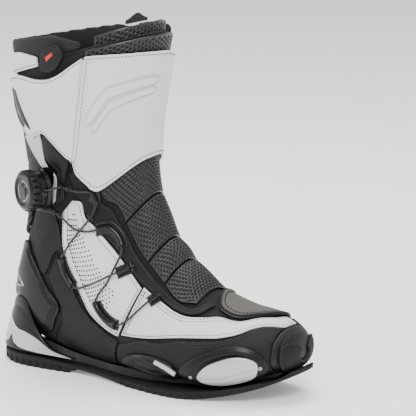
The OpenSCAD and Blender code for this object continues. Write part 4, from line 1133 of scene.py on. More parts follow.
class BOOT_OT_guards(Piece, bpy.types.Operator):
    """Toe slider with its bezel and screws, and the pod over the ball of the foot"""
    bl_idname = "boot.guards"
    bl_label = "Guards"

    def build(self, size):
        bezel = [[5.1, 104], [4.7, 90], [4, 80], [3.2, 76], [2.5, 80], [2.05, 92], [2.1, 106],
                 [2.8, 117], [3.7, 119], [4.6, 117]]

        def rim_step(t, a, near, r, v):
            return .9 * np.exp(-((r - .78) / .12) ** 2) - .9 * np.clip((.7 - r) / .1, 0, 1), {}
        finish(island("slider_bezel_shell", [3.6, 98], bezel, OVER_LOW, OVER_LOW + 2.8, .5,
                      1.5, .8, rim_step), "foot", "black_plastic", "black_plastic", "slider_bezel")
        plate = [[4.5, 103], [4.1, 92], [3.4, 86], [2.75, 87], [2.4, 94], [2.6, 106], [3.3, 112],
                 [4.1, 111]]

        def facet(t, a, near, r, v):
            ridge = np.exp(-((a - 101 - (t - 3.4) * 3) / .9) ** 2) * (r < .93)
            return -.7 * np.clip((a - 101) / 10, 0, 1) - .9 * ridge, {}
        finish(island("slider_plate_silver", [3.45, 98], plate, OVER_LOW + 2.2, OVER_LOW + 6,
                      .6, 1.2, .7, facet), "foot", "silver_plastic", "silver_plastic",
               "slider_plate")
        heads = []
        for t, a in ((4.72, 104), (2.32, 98)):
            up = outward(np.array(t), np.array(a))
            side = unit(np.cross(up, [0, 0, 1.]))
            third = np.cross(up, side)
            middle = over(np.array([t]), np.array([a]), np.array([OVER_LOW + 2.9]))[0]
            heads.append(turned("screw", [[.9, 1.25], [.95, .75], [1.0, 1.35], [1.35, 1.5],
                                          [1.75, 1.3], [1.9, .8], [1.9, .0]], 24,
                                lambda p, m=middle, s=side, q=third, n=up: m + p[..., :1] * s
                                + p[..., 1:2] * q + p[..., 2:] * n,
                                lambda r, z, w: np.where(r < .97, -.12 * np.cos(6 * w), 0)))
        finish(join("slider_screw_heads", heads), "foot", "screw_steel", "screw_steel",
               "slider_screws")
        pod = [[6.85, 122], [6.7, 108], [6.3, 100], [5.7, 97], [5.3, 101], [5.25, 112], [5.5, 121],
               [6.2, 125]]

        def oval(t, a, near, r, v):
            ring = np.sqrt(((t - 6.1) / .62) ** 2 + ((a - 110) / 8.5) ** 2)
            return (.9 * np.exp(-((ring - .85) / .16) ** 2) - .6 * np.clip((.7 - ring) / .12, 0, 1)
                    + .5 * np.clip((.45 - ring) / .2, 0, 1)), {}
        finish(island("ball_pod_shell", [6.1, 110], pod, OVER_LOW, OVER_LOW + 2.4, 1.0, 1.5,
                      .8, oval),
               "foot", "black_plastic", "black_plastic", "ball_pod")
        bar = [[5.85, 101.5, 5.8, 98.3], [5.5, 103, 5.44, 99.8], [5.22, 106.5, 5.16, 103.4]]
        finish(panel("ball_insert_silver", bar, OVER_LOW + 2.2, OVER_LOW + 5.1, .6, .4, .9),
               "foot", "silver_plastic", "silver_plastic", "ball_insert")


# ---------------------------------------------------------------- ankle and instep
QUARTER_OUT = [[10.2, 88, 9.95, 112], [9.7, 86, 9.4, 120.5], [9.1, 95, 9, 128],
               [8.5, 100, 8.6, 150], [8, 102, 8, 156], [7.4, 101, 7.45, 150], [7.1, 100, 7.1, 136]]
QUARTER_IN = [[5.5, -90, 5.5, -125], [6.2, -94, 6.2, -130], [7.2, -97, 7.2, -148],
              [8.2, -98, 8.4, -156], [8.9, -100, 9, -130], [9.5, -103, 9.4, -119],
              [9.95, -106, 9.9, -114]]
ANKLE_OUT = [[10.05, 78, 10.25, 76], [10.3, 87, 10.8, 83], [10.3, 100, 11.6, 100],
             [10.15, 114, 12, 113], [10.25, 124, 12.3, 126], [10.9, 134.5, 12.5, 136],
             [11.6, 143, 12.4, 144]]
ANKLE_IN = [[10.1, -108, 10.4, -108], [10.15, -116, 11.2, -118], [10.25, -124, 12, -128],
            [10.9, -134.5, 12.4, -138], [11.6, -143, 12.4, -146]]
PERFORATED = [[11.25, 79, 11.3, 62], [10.9, 77, 10.9, 46], [10.3, 75, 10.3, 39],
              [9.85, 74, 9.85, 33.5], [9.3, 81, 9.3, 31.5], [8.7, 90, 8.7, 31],
              [8.2, 97, 8.2, 32.5], [7.6, 98, 7.6, 36.5], [7.15, 96, 7.05, 42.5]]
MEDIAL = [[4.95, -44, 5.1, -52], [5.5, -41, 5.5, -86], [6.4, -41, 6.4, -92], [7.4, -40, 7.4, -95],
          [8.6, -38, 8.6, -97], [9.8, -38, 9.8, -104], [10.8, -41, 10.8, -112],
          [12, -44, 12, -124], [13.2, -46, 13.2, -128], [14.4, -46, 14.4, -128],
          [15.6, -46, 15.6, -128], [16.5, -46, 16.5, -128]]
MESH_EDGE = [[11.3, 27], [10.6, 26], [9.8, 19], [8.8, 18.5], [7.8, 22], [6.8, 28], [5.9, 37],
             [5.2, 42], [4.95, 36]]
BORDER = [[12.6, 84, 12.4, 70], [12, 70, 11.8, 54], [11.4, 57, 11.3, 42], [10.9, 44.5, 10.8, 31],
          [10.3, 37.5, 10.2, 26], [9.8, 32, 9.7, 21.5], [9.2, 30, 9.2, 21], [8.7, 29.5, 8.7, 21],
          [8.2, 31, 8.2, 23], [7.6, 35, 7.6, 26.5], [7, 40, 7, 31], [6.5, 43.5, 6.5, 35.5],
          [6.05, 47.5, 6.1, 39.5], [5.6, 50.5, 5.7, 43], [5.15, 51, 5.25, 45], [4.8, 44, 5, 38.5],
          [4.62, 26, 4.88, 26]]


class BOOT_OT_ankle(Piece, bpy.types.Operator):
    """Quarters, ankle panels, perforated panel and inner side panel with their seams"""
    bl_idname = "boot.ankle"
    bl_label = "Ankle"

    def build(self, size):
        step = size.stitch_step / MM

        def folds(t, a, near, u, v):
            return .3 * np.sin(t * 4.1 + a * .05) * np.clip(near / 9, 0, 1), {}
        for name, rows, pitch, crown, node in (
                ("quarter_outer_leather", QUARTER_OUT, 1.2, .5, "quarter_lateral"),
                ("quarter_inner_leather", QUARTER_IN, 1.3, .5, "quarter_medial"),
                ("ankle_outer_leather", ANKLE_OUT, 1.2, .6, "ankle_panel_lateral"),
                ("ankle_inner_leather", ANKLE_IN, 1.2, .6, "ankle_panel_medial")):
            finish(panel(name, rows, PANEL_LOW, PANEL_TOP, pitch, crown, .8, folds),
                   "ankle", "black_leather", "black_leather", node)

        def piping(t, a, near, u, v):
            line = -.8 * np.exp(-((v - 8.2) / .55) ** 2) * (t > 7.9)
            # "cell" darkens the sunk line nearly to black: painted shade in the groove
            return line, {"cell": .8 * np.exp(-((v - 8.2) / .42) ** 2) * (t > 7.9)}
        finish(panel("perforated_leather", PERFORATED, PANEL_LOW, PANEL_TOP, .8, .3, .8, piping),
               "ankle", "silver_leather", "silver_leather", "perforated_panel")
        i, j = np.meshgrid(np.arange(24), np.arange(9), indexing="ij")
        share = .15 + .7 * (i + .5 * (j % 2)) / 24
        row = smooth(PERFORATED, share * (len(PERFORATED) - 1))
        wide = np.linalg.norm(skin(row[..., 0], row[..., 1]) - skin(row[..., 2], row[..., 3]),
                              axis=-1)
        w = (11.5 + 3.3 * j) / wide
        keep = (w < .8 - .2 * (share - .15)) & (w > .1 + .35 * np.abs(share - .45))
        spot = row[..., :2] + (row[..., 2:] - row[..., :2]) * w[..., None]
        finish(dots("perforations", *spot[keep].T, PANEL_TOP + .4, .8, .05), "ankle",
               "hole_black")

        def soft(t, a, near, u, v):
            fold = (-.55 * np.exp(-((t - 9.5 - .01 * (a + 70)) / .12) ** 2)
                    - .45 * np.exp(-((t - 10.4 + .012 * (a + 70)) / .12) ** 2)
                    - .35 * np.exp(-((t - 8.7) / .12) ** 2))
            return fold * np.clip(near / 8, 0, 1) + groove(near, 5.5, .4, .35), {}
        finish(panel("medial_leather", MEDIAL, PANEL_LOW, PANEL_TOP, 1.2, .4, .8, soft),
               "ankle", "silver_leather", "silver_leather", "medial_panel")
        seams = [(beside(QUARTER_OUT, 0, 2.1, .02, .98), PANEL_TOP + .03),
                 (beside(QUARTER_OUT, 0, 4.7, .02, .98), PANEL_TOP + .08),
                 (beside(ANKLE_OUT, 0, 2.2, .03, .97), PANEL_TOP + .05),
                 (beside(ANKLE_OUT, 1, 2.2, .03, .97), PANEL_TOP + .05),
                 (beside(QUARTER_IN, 0, 2.1, .02, .98), PANEL_TOP + .03),
                 (beside(QUARTER_IN, 0, 4.7, .02, .98), PANEL_TOP + .08),
                 (beside(ANKLE_IN, 0, 2.2, .03, .97), PANEL_TOP + .05)]
        finish(stitches("ankle_thread", seams, step), "ankle", "thread_black")
        seams = [(beside(PERFORATED, 0, 2.3, .01, .99), PANEL_TOP + .02),
                 (beside(PERFORATED, 1, 2.3, .01, .99), PANEL_TOP + .02),
                 (beside(MEDIAL, 0, 2.3, .03, .99), PANEL_TOP + .02),
                 (beside(MEDIAL, 1, 2.3, .03, .99), PANEL_TOP + .02)]
        finish(stitches("side_thread", seams, step), "ankle", "thread_grey")
        seams = [(across(PERFORATED, 1, 1.8), PANEL_TOP + .05),
                 (across(VAMP, 0, 1.8), PANEL_TOP + .05),
                 (across(VAMP, 0, 4.0), PANEL_TOP + .08)]
        finish(stitches("cross_thread", seams, 2.7, 1.9, .9), "ankle", "thread_black")


def mesh_rows(a, b, ta, tb):
    """Rows of one fold of the instep mesh, from share a to b of its edge curve."""
    f = np.linspace(0, 1, 6)
    edge = smooth(MESH_EDGE, a + (b - a) * f)[:, 1]
    t = ta + (tb - ta) * f
    return np.stack([t, edge, t, -np.minimum(edge, 27)], -1)


class BOOT_OT_instep(Piece, bpy.types.Operator):
    """Hexagon mesh in four folds and the stitched border strip"""
    bl_idname = "boot.instep"
    bl_label = "Instep"

    def build(self, size):
        pitch, depth = size.mesh_pitch / MM, size.mesh_depth / MM

        def hexes(t, a, near, u, v):
            cell = (hexagons(v - v.max(1, keepdims=True) / 2, u * 1.4, pitch, .8)
                    * np.clip((near - .8) / .5, 0, 1))
            # "cell" sets the hollows' depth and, in the mesh finish, their painted shade
            return -depth * cell, {"cell": cell}
        folds = [("instep_mesh_upper", [(.4, 3, 10.9, 8.92, .35)], "instep_mesh_1"),
                 ("instep_mesh_middle", [(3, 4.5, 8.86, 7.36, 2.6)], "instep_mesh_2"),
                 ("instep_mesh_lower", [(4.5, 5.5, 7.3, 6.4, 2.6), (5.5, 8, 6.34, 5.12, 2.6)],
                  "instep_mesh_3")]
        for name, parts, node in folds:
            made = [panel(name, mesh_rows(a, b, ta, tb), PANEL_LOW, PANEL_TOP + min(.6, k), .55, k,
                          1.4, hexes) for a, b, ta, tb, k in parts]
            finish(join(name, made), "ankle", "instep_mesh", "instep_mesh", node)
        finish(panel("instep_border_leather", BORDER, PANEL_LOW, PANEL_TOP + .35, .8, .3, .9,
                     lambda t, a, near, u, v: (groove(near, 3.9, .4, .25), {})),
               "ankle", "black_leather", "black_leather", "instep_border")
        seams = [(beside(BORDER, 0, 1.7, .01, .99), PANEL_TOP + .38),
                 (beside(BORDER, 1, 1.7, .01, .99), PANEL_TOP + .38)]
        finish(stitches("instep_border_thread", seams, 2.7, 1.9, .8), "ankle", "thread_black")


# ---------------------------------------------------------------- shaft
CALF = [[13.35, 130, 16.4, 132], [13.3, 145, 16.5, 146], [13.3, 163, 16.6, 163],
        [13.3, 180, 16.6, 180], [13.3, 197, 16.6, 197], [13.3, 215, 16.5, 214],
        [13.35, 230, 16.4, 230]]
WING = [[15.95, 157, 16.5, 158], [15.6, 150, 16.65, 150], [15.1, 142, 16.65, 141],
        [14.72, 133, 16.6, 133], [14.7, 125, 16.5, 125], [14.6, 116, 16.35, 115],
        [14.15, 107, 16.25, 106], [13.65, 97, 16.2, 97], [13.25, 88, 16.25, 86],
        [13, 80.5, 16.45, 72], [12.85, 77.5, 16.6, 63.5]]
ARM = [[14.65, 119, 14.58, 112], [14.3, 121.5, 14.2, 106], [13.9, 121, 13.8, 99],
       [13.5, 115, 13.4, 91], [13.1, 105, 13, 84], [12.7, 101, 12.65, 86], [12.4, 100, 12.3, 86],
       [12.1, 99, 12, 83], [11.8, 96, 11.7, 80]]
TAIL = [[14.95, 146, 14.9, 122.5], [14.3, 137, 14.25, 122.5], [13.8, 129.5, 13.75, 122],
        [13.4, 123, 13.35, 116], [13.0, 116, 12.95, 107], [12.7, 111.5, 12.66, 103.5],
        [12.3, 108.5, 12.3, 102], [12.0, 106, 12.0, 101]]
FLAP = [[12.78, 75, 16.62, 61.5], [12.3, 66, 16.58, 55], [11.8, 53, 16.48, 46],
        [11.35, 42, 16.38, 38], [10.9, 33.5, 16.28, 31], [10.62, 27, 16.2, 24],
        [10.45, 18, 16.1, 16], [10.35, 8, 16, 6], [10.3, 0, 15.95, -4], [10.45, -14, 15.85, -15],
        [10.8, -28, 15.75, -28], [11.25, -42, 15.7, -42], [11.75, -56, 15.75, -56],
        [12.15, -66, 15.85, -66], [12.5, -73, 15.8, -73], [12.95, -77, 15.6, -76.5]]
TAB = [[17.3, 86], [17.35, 94], [17.1, 105], [16.6, 107], [16.42, 98], [16.5, 88], [16.9, 82]]


def bar(x, y, x0, y0, x1, y1, half, soft=.5):
    """Raised bar between two points: 1 inside half of its width, eased to 0 over soft."""
    dx, dy = x1 - x0, y1 - y0
    f = np.clip(((x - x0) * dx + (y - y0) * dy) / (dx * dx + dy * dy), 0, 1)
    far = np.hypot(x - x0 - f * dx, y - y0 - f * dy)
    return np.clip((half + soft - far) / soft, 0, 1)


class BOOT_OT_shaft(Piece, bpy.types.Operator):
    """Calf panel, wing with its slits, support arm and tail, collar pieces, loop patch"""
    bl_idname = "boot.shaft"
    bl_label = "Shaft"

    def build(self, size):
        step = size.stitch_step / MM
        finish(panel("calf_leather", CALF, PANEL_LOW, PANEL_TOP, 1.3, .4, .8,
                     lambda t, a, near, u, v: (
                         -.6 * np.exp(-((t - 14.3) / .05) ** 2)
                         - .6 * np.exp(-((t - 15.3) / .05) ** 2)
                         + .25 * np.sin(t * 3 + a * .04) * np.clip(near / 9, 0, 1), {})),
               "shaft", "black_leather", "black_leather", "calf_panel")
        finish(panel("calf_wing_leather", WING, PLATE_LOW, PLATE_TOP, .9, .3, .9,
                     lambda t, a, near, u, v: (groove(near, 4.6, .4, .3), {})),
               "shaft", "plate_silver", "plate_silver", "calf_wing")
        fold = [[12.9, 79.5, 12.9, 73.5], [14.2, 77, 14.2, 70], [15.4, 74.5, 15.4, 66.5],
                [16.5, 67.5, 16.5, 60.5]]
        finish(panel("wing_fold_leather", fold, OVER_TOP - .8, PLATE_TOP - 1.5, 1.2, .2, .5),
               "shaft", "plate_silver", "plate_silver")
        slits = []
        for rows in ([[16.36, 151, 16.32, 147.5], [15.75, 150, 15.7, 145.5],
                      [15.42, 146, 15.5, 142.5], [15.12, 138.5, 15.2, 137]],
                     [[16.3, 146, 16.22, 141.5], [15.72, 144, 15.66, 136.5],
                      [15.3, 138, 15.2, 131.5], [14.98, 131, 14.95, 129.5]]):
            slits.append(panel("slit", rows, PLATE_TOP - .5, PLATE_TOP + .55, .8, .2, .5))
        finish(join("calf_graphic_inlay", slits), "shaft", "black_plastic", "black_plastic",
               "calf_graphic")
        finish(panel("support_arm_shell", ARM, OVER_LOW, OVER_TOP, .9, .5, 1.,
                     lambda t, a, near, u, v: (groove(near, 2.6, .5, .5), {})),
               "shaft", "black_plastic", "black_plastic", "support_arm")
        finish(panel("support_tail_silver", TAIL, OVER_LOW, OVER_TOP - .2, .9, .3, .8),
               "shaft", "silver_plastic", "silver_plastic", "support_tail")
        finish(panel("loop_patch_fabric", [[12.9, -56, 15.3, -56], [12.9, -74, 15.3, -74]],
                     OVER_LOW, OVER_LOW + .8, 1.2, 0, .3), "shaft", "hook_loop", "hook_loop",
               "loop_patch")
        rear = [[16.72, a, 17.05 + .3 * min(1, (66 - abs(a - 178)) / 20), a]
                for a in range(112, 245, 12)]
        finish(panel("collar_rear_leather", rear, PANEL_LOW, PANEL_TOP, 1.0, .8, .8), "shaft",
               "silver_leather", "silver_leather", "collar_rear")
        finish(island("collar_tab_leather", [16.85, 95], TAB, PLATE_TOP - 3.4, PLATE_TOP - 1.4, .5,
                      .8, .8), "shaft", "black_leather", "black_leather", "collar_tab")
        finish(panel("collar_tab_mark", [[16.98, 91, 17.12, 91.5], [16.8, 98.5, 16.98, 99.5]],
                     PLATE_TOP - 1.6, PLATE_TOP - .6, .5, .1, .4), "shaft", "red_mark")
        finish(panel("collar_front_leather", [[15.7, -32, 17.2, -33], [15.7, -40, 17.45, -40],
                                              [15.7, -45, 17.3, -47]],
                     PANEL_LOW, PANEL_TOP, .9, .3, .8), "shaft", "black_leather", "black_leather")
        seams = [(beside(WING, 0, 2.4, .02, .98), PLATE_TOP + .03),
                 (beside(WING, 1, 2.4, .02, .98), PLATE_TOP + .03),
                 (beside(rear, 0, 2.2, .02, .98), PANEL_TOP + .15)]
        finish(stitches("shaft_thread", seams, step), "shaft", "thread_grey")
        seams = [(beside(CALF, 0, 2.4, .02, .98), PANEL_TOP + .03),
                 (beside(CALF, 0, 5, .02, .98), PANEL_TOP + .06),
                 (beside(CALF, 1, 2.4, .02, .98), PANEL_TOP + .03)]
        finish(stitches("calf_thread", seams, step), "shaft", "thread_black")


class BOOT_OT_flap(Piece, bpy.types.Operator):
    """Shin flap with its raised generic mark, fold and hook patch"""
    bl_idname = "boot.flap"
    bl_label = "Shin flap"

    def build(self, size):
        step = size.stitch_step / MM

        def mark(t, a, near, u, v):
            x = (a - 32) * .82
            y = (t - 14.1) * 15.2
            shape = np.maximum.reduce([
                bar(x, y, -19, 4, 8, 9, 3.2, .8), bar(x, y, 8, 9, 19, -1, 3.2, .8),
                bar(x, y, -19, -5, 5, -1, 2.2, .8), bar(x, y, 5, -1, 14, -9, 2.2, .8)])
            halo = np.maximum.reduce([
                bar(x, y, -19, 4, 8, 9, 4.4, 1.2), bar(x, y, 8, 9, 19, -1, 4.4, 1.2),
                bar(x, y, -19, -5, 5, -1, 3.4, 1.2), bar(x, y, 5, -1, 14, -9, 3.4, 1.2)])
            frame_line = groove(near, 5.2, .45, .35)
            fold = -.9 * np.exp(-((a - (66 - (t - 12.8) * 2.6)) / 1.1) ** 2)
            wave = .35 * np.sin(t * 2.3 + a * .03) * np.clip(near / 14, 0, 1)
            rise = 2.0 * shape - .9 * halo + frame_line + fold * (near > 2) + wave
            # "cell" darkens the sunk halo round the raised bars: painted shade in the channel
            return rise, {"cell": .2 * np.clip(halo - shape, 0, 1)}
        finish(panel("shin_flap_leather", FLAP, PLATE_LOW, PLATE_TOP, .95, .5, .9, mark),
               "flap", "plate_silver", "plate_silver", "shin_flap")
        finish(panel("hook_patch_fabric", [[13, -58, 15.2, -58], [13, -72, 15.2, -72]],
                     PLATE_LOW - 1, PLATE_LOW - .1, 1.2, 0, .3), "flap", "hook_loop", "hook_loop",
               "hook_patch")
        box = np.array([[13.0, -54], [15.35, -54], [15.35, -71], [13.3, -73], [13.0, -54]])
        lines = [np.linspace(box[k], box[k + 1], 12) for k in range(4)]
        seams = [(beside(FLAP, 0, 2.6, .01, .99), PLATE_TOP + .05),
                 (beside(FLAP, 1, 2.6, .01, .99), PLATE_TOP + .05),
                 (across(FLAP, 0, 2.6), PLATE_TOP + .05), (across(FLAP, 1, 2.6), PLATE_TOP + .05)]
        seams += [(line, PLATE_TOP + .15) for line in lines]
        finish(stitches("flap_thread", seams, step), "flap", "thread_grey")


def pumped(piece, voxel, pressure, cap):
    """Padding: the shape is remeshed, blown up as cloth, and each point's movement is held to
    the cap: p + d min(1, cap / |d|)."""
    scene = bpy.context.scene
    bpy.context.view_layer.objects.active = piece
    remesh = piece.modifiers.new("Even skin", "REMESH")
    remesh.mode, remesh.voxel_size, remesh.use_smooth_shade = "VOXEL", voxel, True
    bpy.ops.object.modifier_apply(modifier=remesh.name)
    count = len(piece.data.vertices)
    start = np.empty(count * 3, np.float32)
    piece.data.vertices.foreach_get("co", start)
    cloth_sim = piece.modifiers.new("Padding", "CLOTH")
    cloth_sim.settings.use_pressure = True
    cloth_sim.settings.uniform_pressure_force = pressure
    cloth_sim.settings.effector_weights.gravity = 0
    cloth_sim.settings.quality = 5
    cloth_sim.settings.tension_stiffness = 25
    cloth_sim.settings.compression_stiffness = 25
    cloth_sim.collision_settings.use_collision = False
    cloth_sim.point_cache.frame_end = 20
    for number in range(1, 21):
        scene.frame_set(number)
    bpy.context.view_layer.update()
    shape = piece.evaluated_get(bpy.context.evaluated_depsgraph_get()).to_mesh()
    moved = np.empty(count * 3, np.float32)
    shape.vertices.foreach_get("co", moved)
    piece.modifiers.remove(cloth_sim)
    scene.frame_set(1)
    shift = (moved - start).reshape(-1, 3)
    reach = np.linalg.norm(shift, axis=1, keepdims=True)
    shift *= np.minimum(1, cap / np.maximum(reach, 1e-9))
    piece.data.vertices.foreach_set("co", (start.reshape(-1, 3) + shift).ravel())
    smoother = piece.modifiers.new("Finer skin", "SUBSURF")
    smoother.levels = smoother.render_levels = 1
    bpy.ops.object.modifier_apply(modifier=smoother.name)
    piece.data.update()
    return piece


class BOOT_OT_collar(Piece, bpy.types.Operator):
    """Padded collar, padded tongue with its mesh face, and the pull tab"""
    bl_idname = "boot.collar"
    bl_label = "Collar"

    def build(self, size):
        pitch, depth = size.mesh_pitch / MM, size.mesh_depth / MM
        rows = [[16.98, a, 17.25 + .65 * min(1, (114 - abs(a - 180)) / 30), a]
                for a in range(66, 295, 12)]
        pad = panel("collar_padding", rows, -5.6, -1.7, 1.4, .9, 1.6)
        pad.data.materials.append(MATERIALS["soft_knit"])
        pumped(pad, .0022, 4, .002)
        finish(pad, "shaft", "soft_knit", "lining", "collar_pad")
        rows = [[13.4, a, 17.7 - .3 * (a / 60) ** 2, a] for a in range(-60, 61, 15)]
        tongue = panel("tongue_padding", rows, -10.6, -8.4, 1.6, .8, 1.4)
        tongue.data.materials.append(MATERIALS["soft_knit"])
        pumped(tongue, .0022, 4, .0012)
        finish(tongue, "shaft", "soft_knit", "lining", "tongue")

        def hexes(t, a, near, u, v):
            cell = (hexagons(v - v.max(1, keepdims=True) / 2, u, pitch, .8)
                    * np.clip((near - 1.6) / .5, 0, 1))
            # "cell" sets the hollows' depth and, in the mesh finish, their painted shade
            return -depth * cell, {"cell": cell}
        face = [[15.2, a, 17.62 - .3 * (a / 60) ** 2, a] for a in range(-56, 57, 14)]
        finish(panel("tongue_mesh_face", face, -7.6, -6.3, .6, .3, .9, hexes),
               "shaft", "instep_mesh", "instep_mesh")
        low_face = [[15.7, a, 16.86, a] for a in range(62, -33, -8)]
        finish(panel("collar_mesh_face", low_face, PANEL_LOW - .6, PANEL_TOP - .2, .6, .3, .9,
                     hexes),
               "shaft", "instep_mesh", "instep_mesh")
        tab = [[17.72, 30, 18.05, 30], [17.73, 24, 18.2, 24], [17.74, 16, 18.2, 16],
               [17.74, 10, 18.05, 10]]
        finish(panel("pull_tab_webbing", tab, -9.9, -8.3, .7, .1, .5), "shaft", "webbing",
               "webbing", "pull_tab")


class BOOT_OT_lining(Piece, bpy.types.Operator):
    """Base shells and lining sleeves"""
    bl_idname = "boot.lining"
    bl_label = "Lining"

    def build(self, size):
        for name, start, end, rows, columns, cap, body, look, node in (
                ("foot_shell_fabric", .6, 8.9, 110, 120, .35, "ankle", "base_fabric",
                 "foot_shell"),
                ("ankle_shell_fabric", 8.92, 12.76, 60, 120, 0., "ankle", "base_fabric",
                 "ankle_shell"),
                ("shaft_shell_fabric", 12.78, 16.75, 60, 140, 0., "shaft", "base_fabric",
                 "shaft_shell"),
                ("foot_lining", 1.2, 8.02, 80, 100, .35, "foot", "lining", "foot_liner"),
                ("ankle_lining", 8.03, 12.66, 60, 110, 0., "ankle", "lining", "ankle_liner"),
                ("shaft_lining", 12.68, 16.92, 60, 130, 0., "shaft", "lining", "shaft_liner")):
            low, top = ((SHELL_LOW, SHELL_TOP) if look == "base_fabric"
                        else (LINER_LOW, LINER_TOP))
            finish(sleeve(name, start, end, low, top, rows, columns, cap), body, look, look,
                   node)


# ---------------------------------------------------------------- dial, lace and guides
LACE_UP = [[12.67, 111, 16], [12.59, 105.5, 17.4], [12.5, 99.5, 16], [12.36, 91, 10.8],
           [12.18, 83, 6.8], [11.9, 72, 5.3], [11.4, 52, 3.8], [11, 38, 3.9], [10.6, 31, 3.9],
           [10.3, 29, 3.9], [10.1, 33, 4.2], [10.05, 44, 5.2], [10.05, 58, 4.4], [10, 70, 4],
           [9.95, 78, 3.9], [9.65, 83, 4], [9.35, 86, 4], [9.1, 87, 4], [8.9, 82, 3.6],
           [8.7, 70, 3.2], [8.4, 55, 4.8], [8.15, 45, 5.2], [7.85, 36, 4.3], [7.65, 31, 3.9]]
LACE_DOWN = [[12.3, 117, 14.3], [12.14, 113.8, 15.2], [11.97, 109.5, 14.5], [11.75, 101, 10.2],
             [11.45, 88.5, 6.3], [11.12, 77, 5], [10.6, 60, 3.2], [10.1, 45, 3], [9.75, 36, 3.4],
             [9.4, 27, 3.9], [9, 24.5, 3.9], [8.6, 25, 3.9], [8.3, 29, 3.6], [8.2, 40, 3],
             [8.15, 52, 3], [8.2, 66, 3.2], [8.15, 77, 3.9], [7.9, 83, 4], [7.55, 85.5, 4],
             [7.25, 84, 4], [7.05, 77, 3.4], [6.85, 66, 3], [6.65, 55, 3], [6.4, 46, 3.6],
             [6.28, 43, 3.9]]
DIAL_CENTRE = np.array([-82.37, -48.81, 166.26])
DIAL_TURN = math.radians(-116)
LACE_WIDTH = 1.8


def on_dial(local):
    """From the dial's own x, y, z to the boot: z is the dial's axis, x points down."""
    out = np.array([math.cos(DIAL_TURN), math.sin(DIAL_TURN), 0])
    along = np.array([-math.sin(DIAL_TURN), math.cos(DIAL_TURN), 0])
    return (DIAL_CENTRE + local[..., :1] * np.array([0, 0, -1.]) + local[..., 1:2] * along
            + local[..., 2:] * out)


def lace_line(path, start, end, count):
    """Points and outward normals of a run of the lace between two of its rows."""
    row = smooth(path, np.linspace(start, end, count))
    return over(row[:, 0], row[:, 1], row[:, 2]), outward(row[:, 0], row[:, 1]), row


def guide(name, path, start, end, radius=2.3):
    """Moulded guide: an open sleeve round the lace with a flare at each end."""
    points, up, _ = lace_line(path, start, end, 34)
    f = np.linspace(0, 1, 34)
    flare = radius + .35 * (np.exp(-(f / .07) ** 2) + np.exp(-((1 - f) / .07) ** 2))
    return tube(name, points, up, flare, 20, 1., LACE_WIDTH / 2 + .45)


def guide_foot(name, path, start, end, half, low, top):
    """Pad under a guide: a panel that follows the lace's path, half wide to each side."""
    row = smooth(path, np.linspace(start, end, 9))
    t, a = row[:, 0], row[:, 1]
    per_t = np.linalg.norm(skin(t + .05, a) - skin(t - .05, a), axis=1) / .1
    per_a = np.linalg.norm(skin(t, a + 1) - skin(t, a - 1), axis=1) / 2
    dt, da = np.gradient(t) * per_t, np.gradient(a) * per_a
    size = np.hypot(dt, da)
    nt, na = -da / size * half / per_t, dt / size * half / per_a
    rows = np.stack([t - nt, a - na, t + nt, a + na], -1)
    return panel(name, rows, low, top, .7, .3, .9)


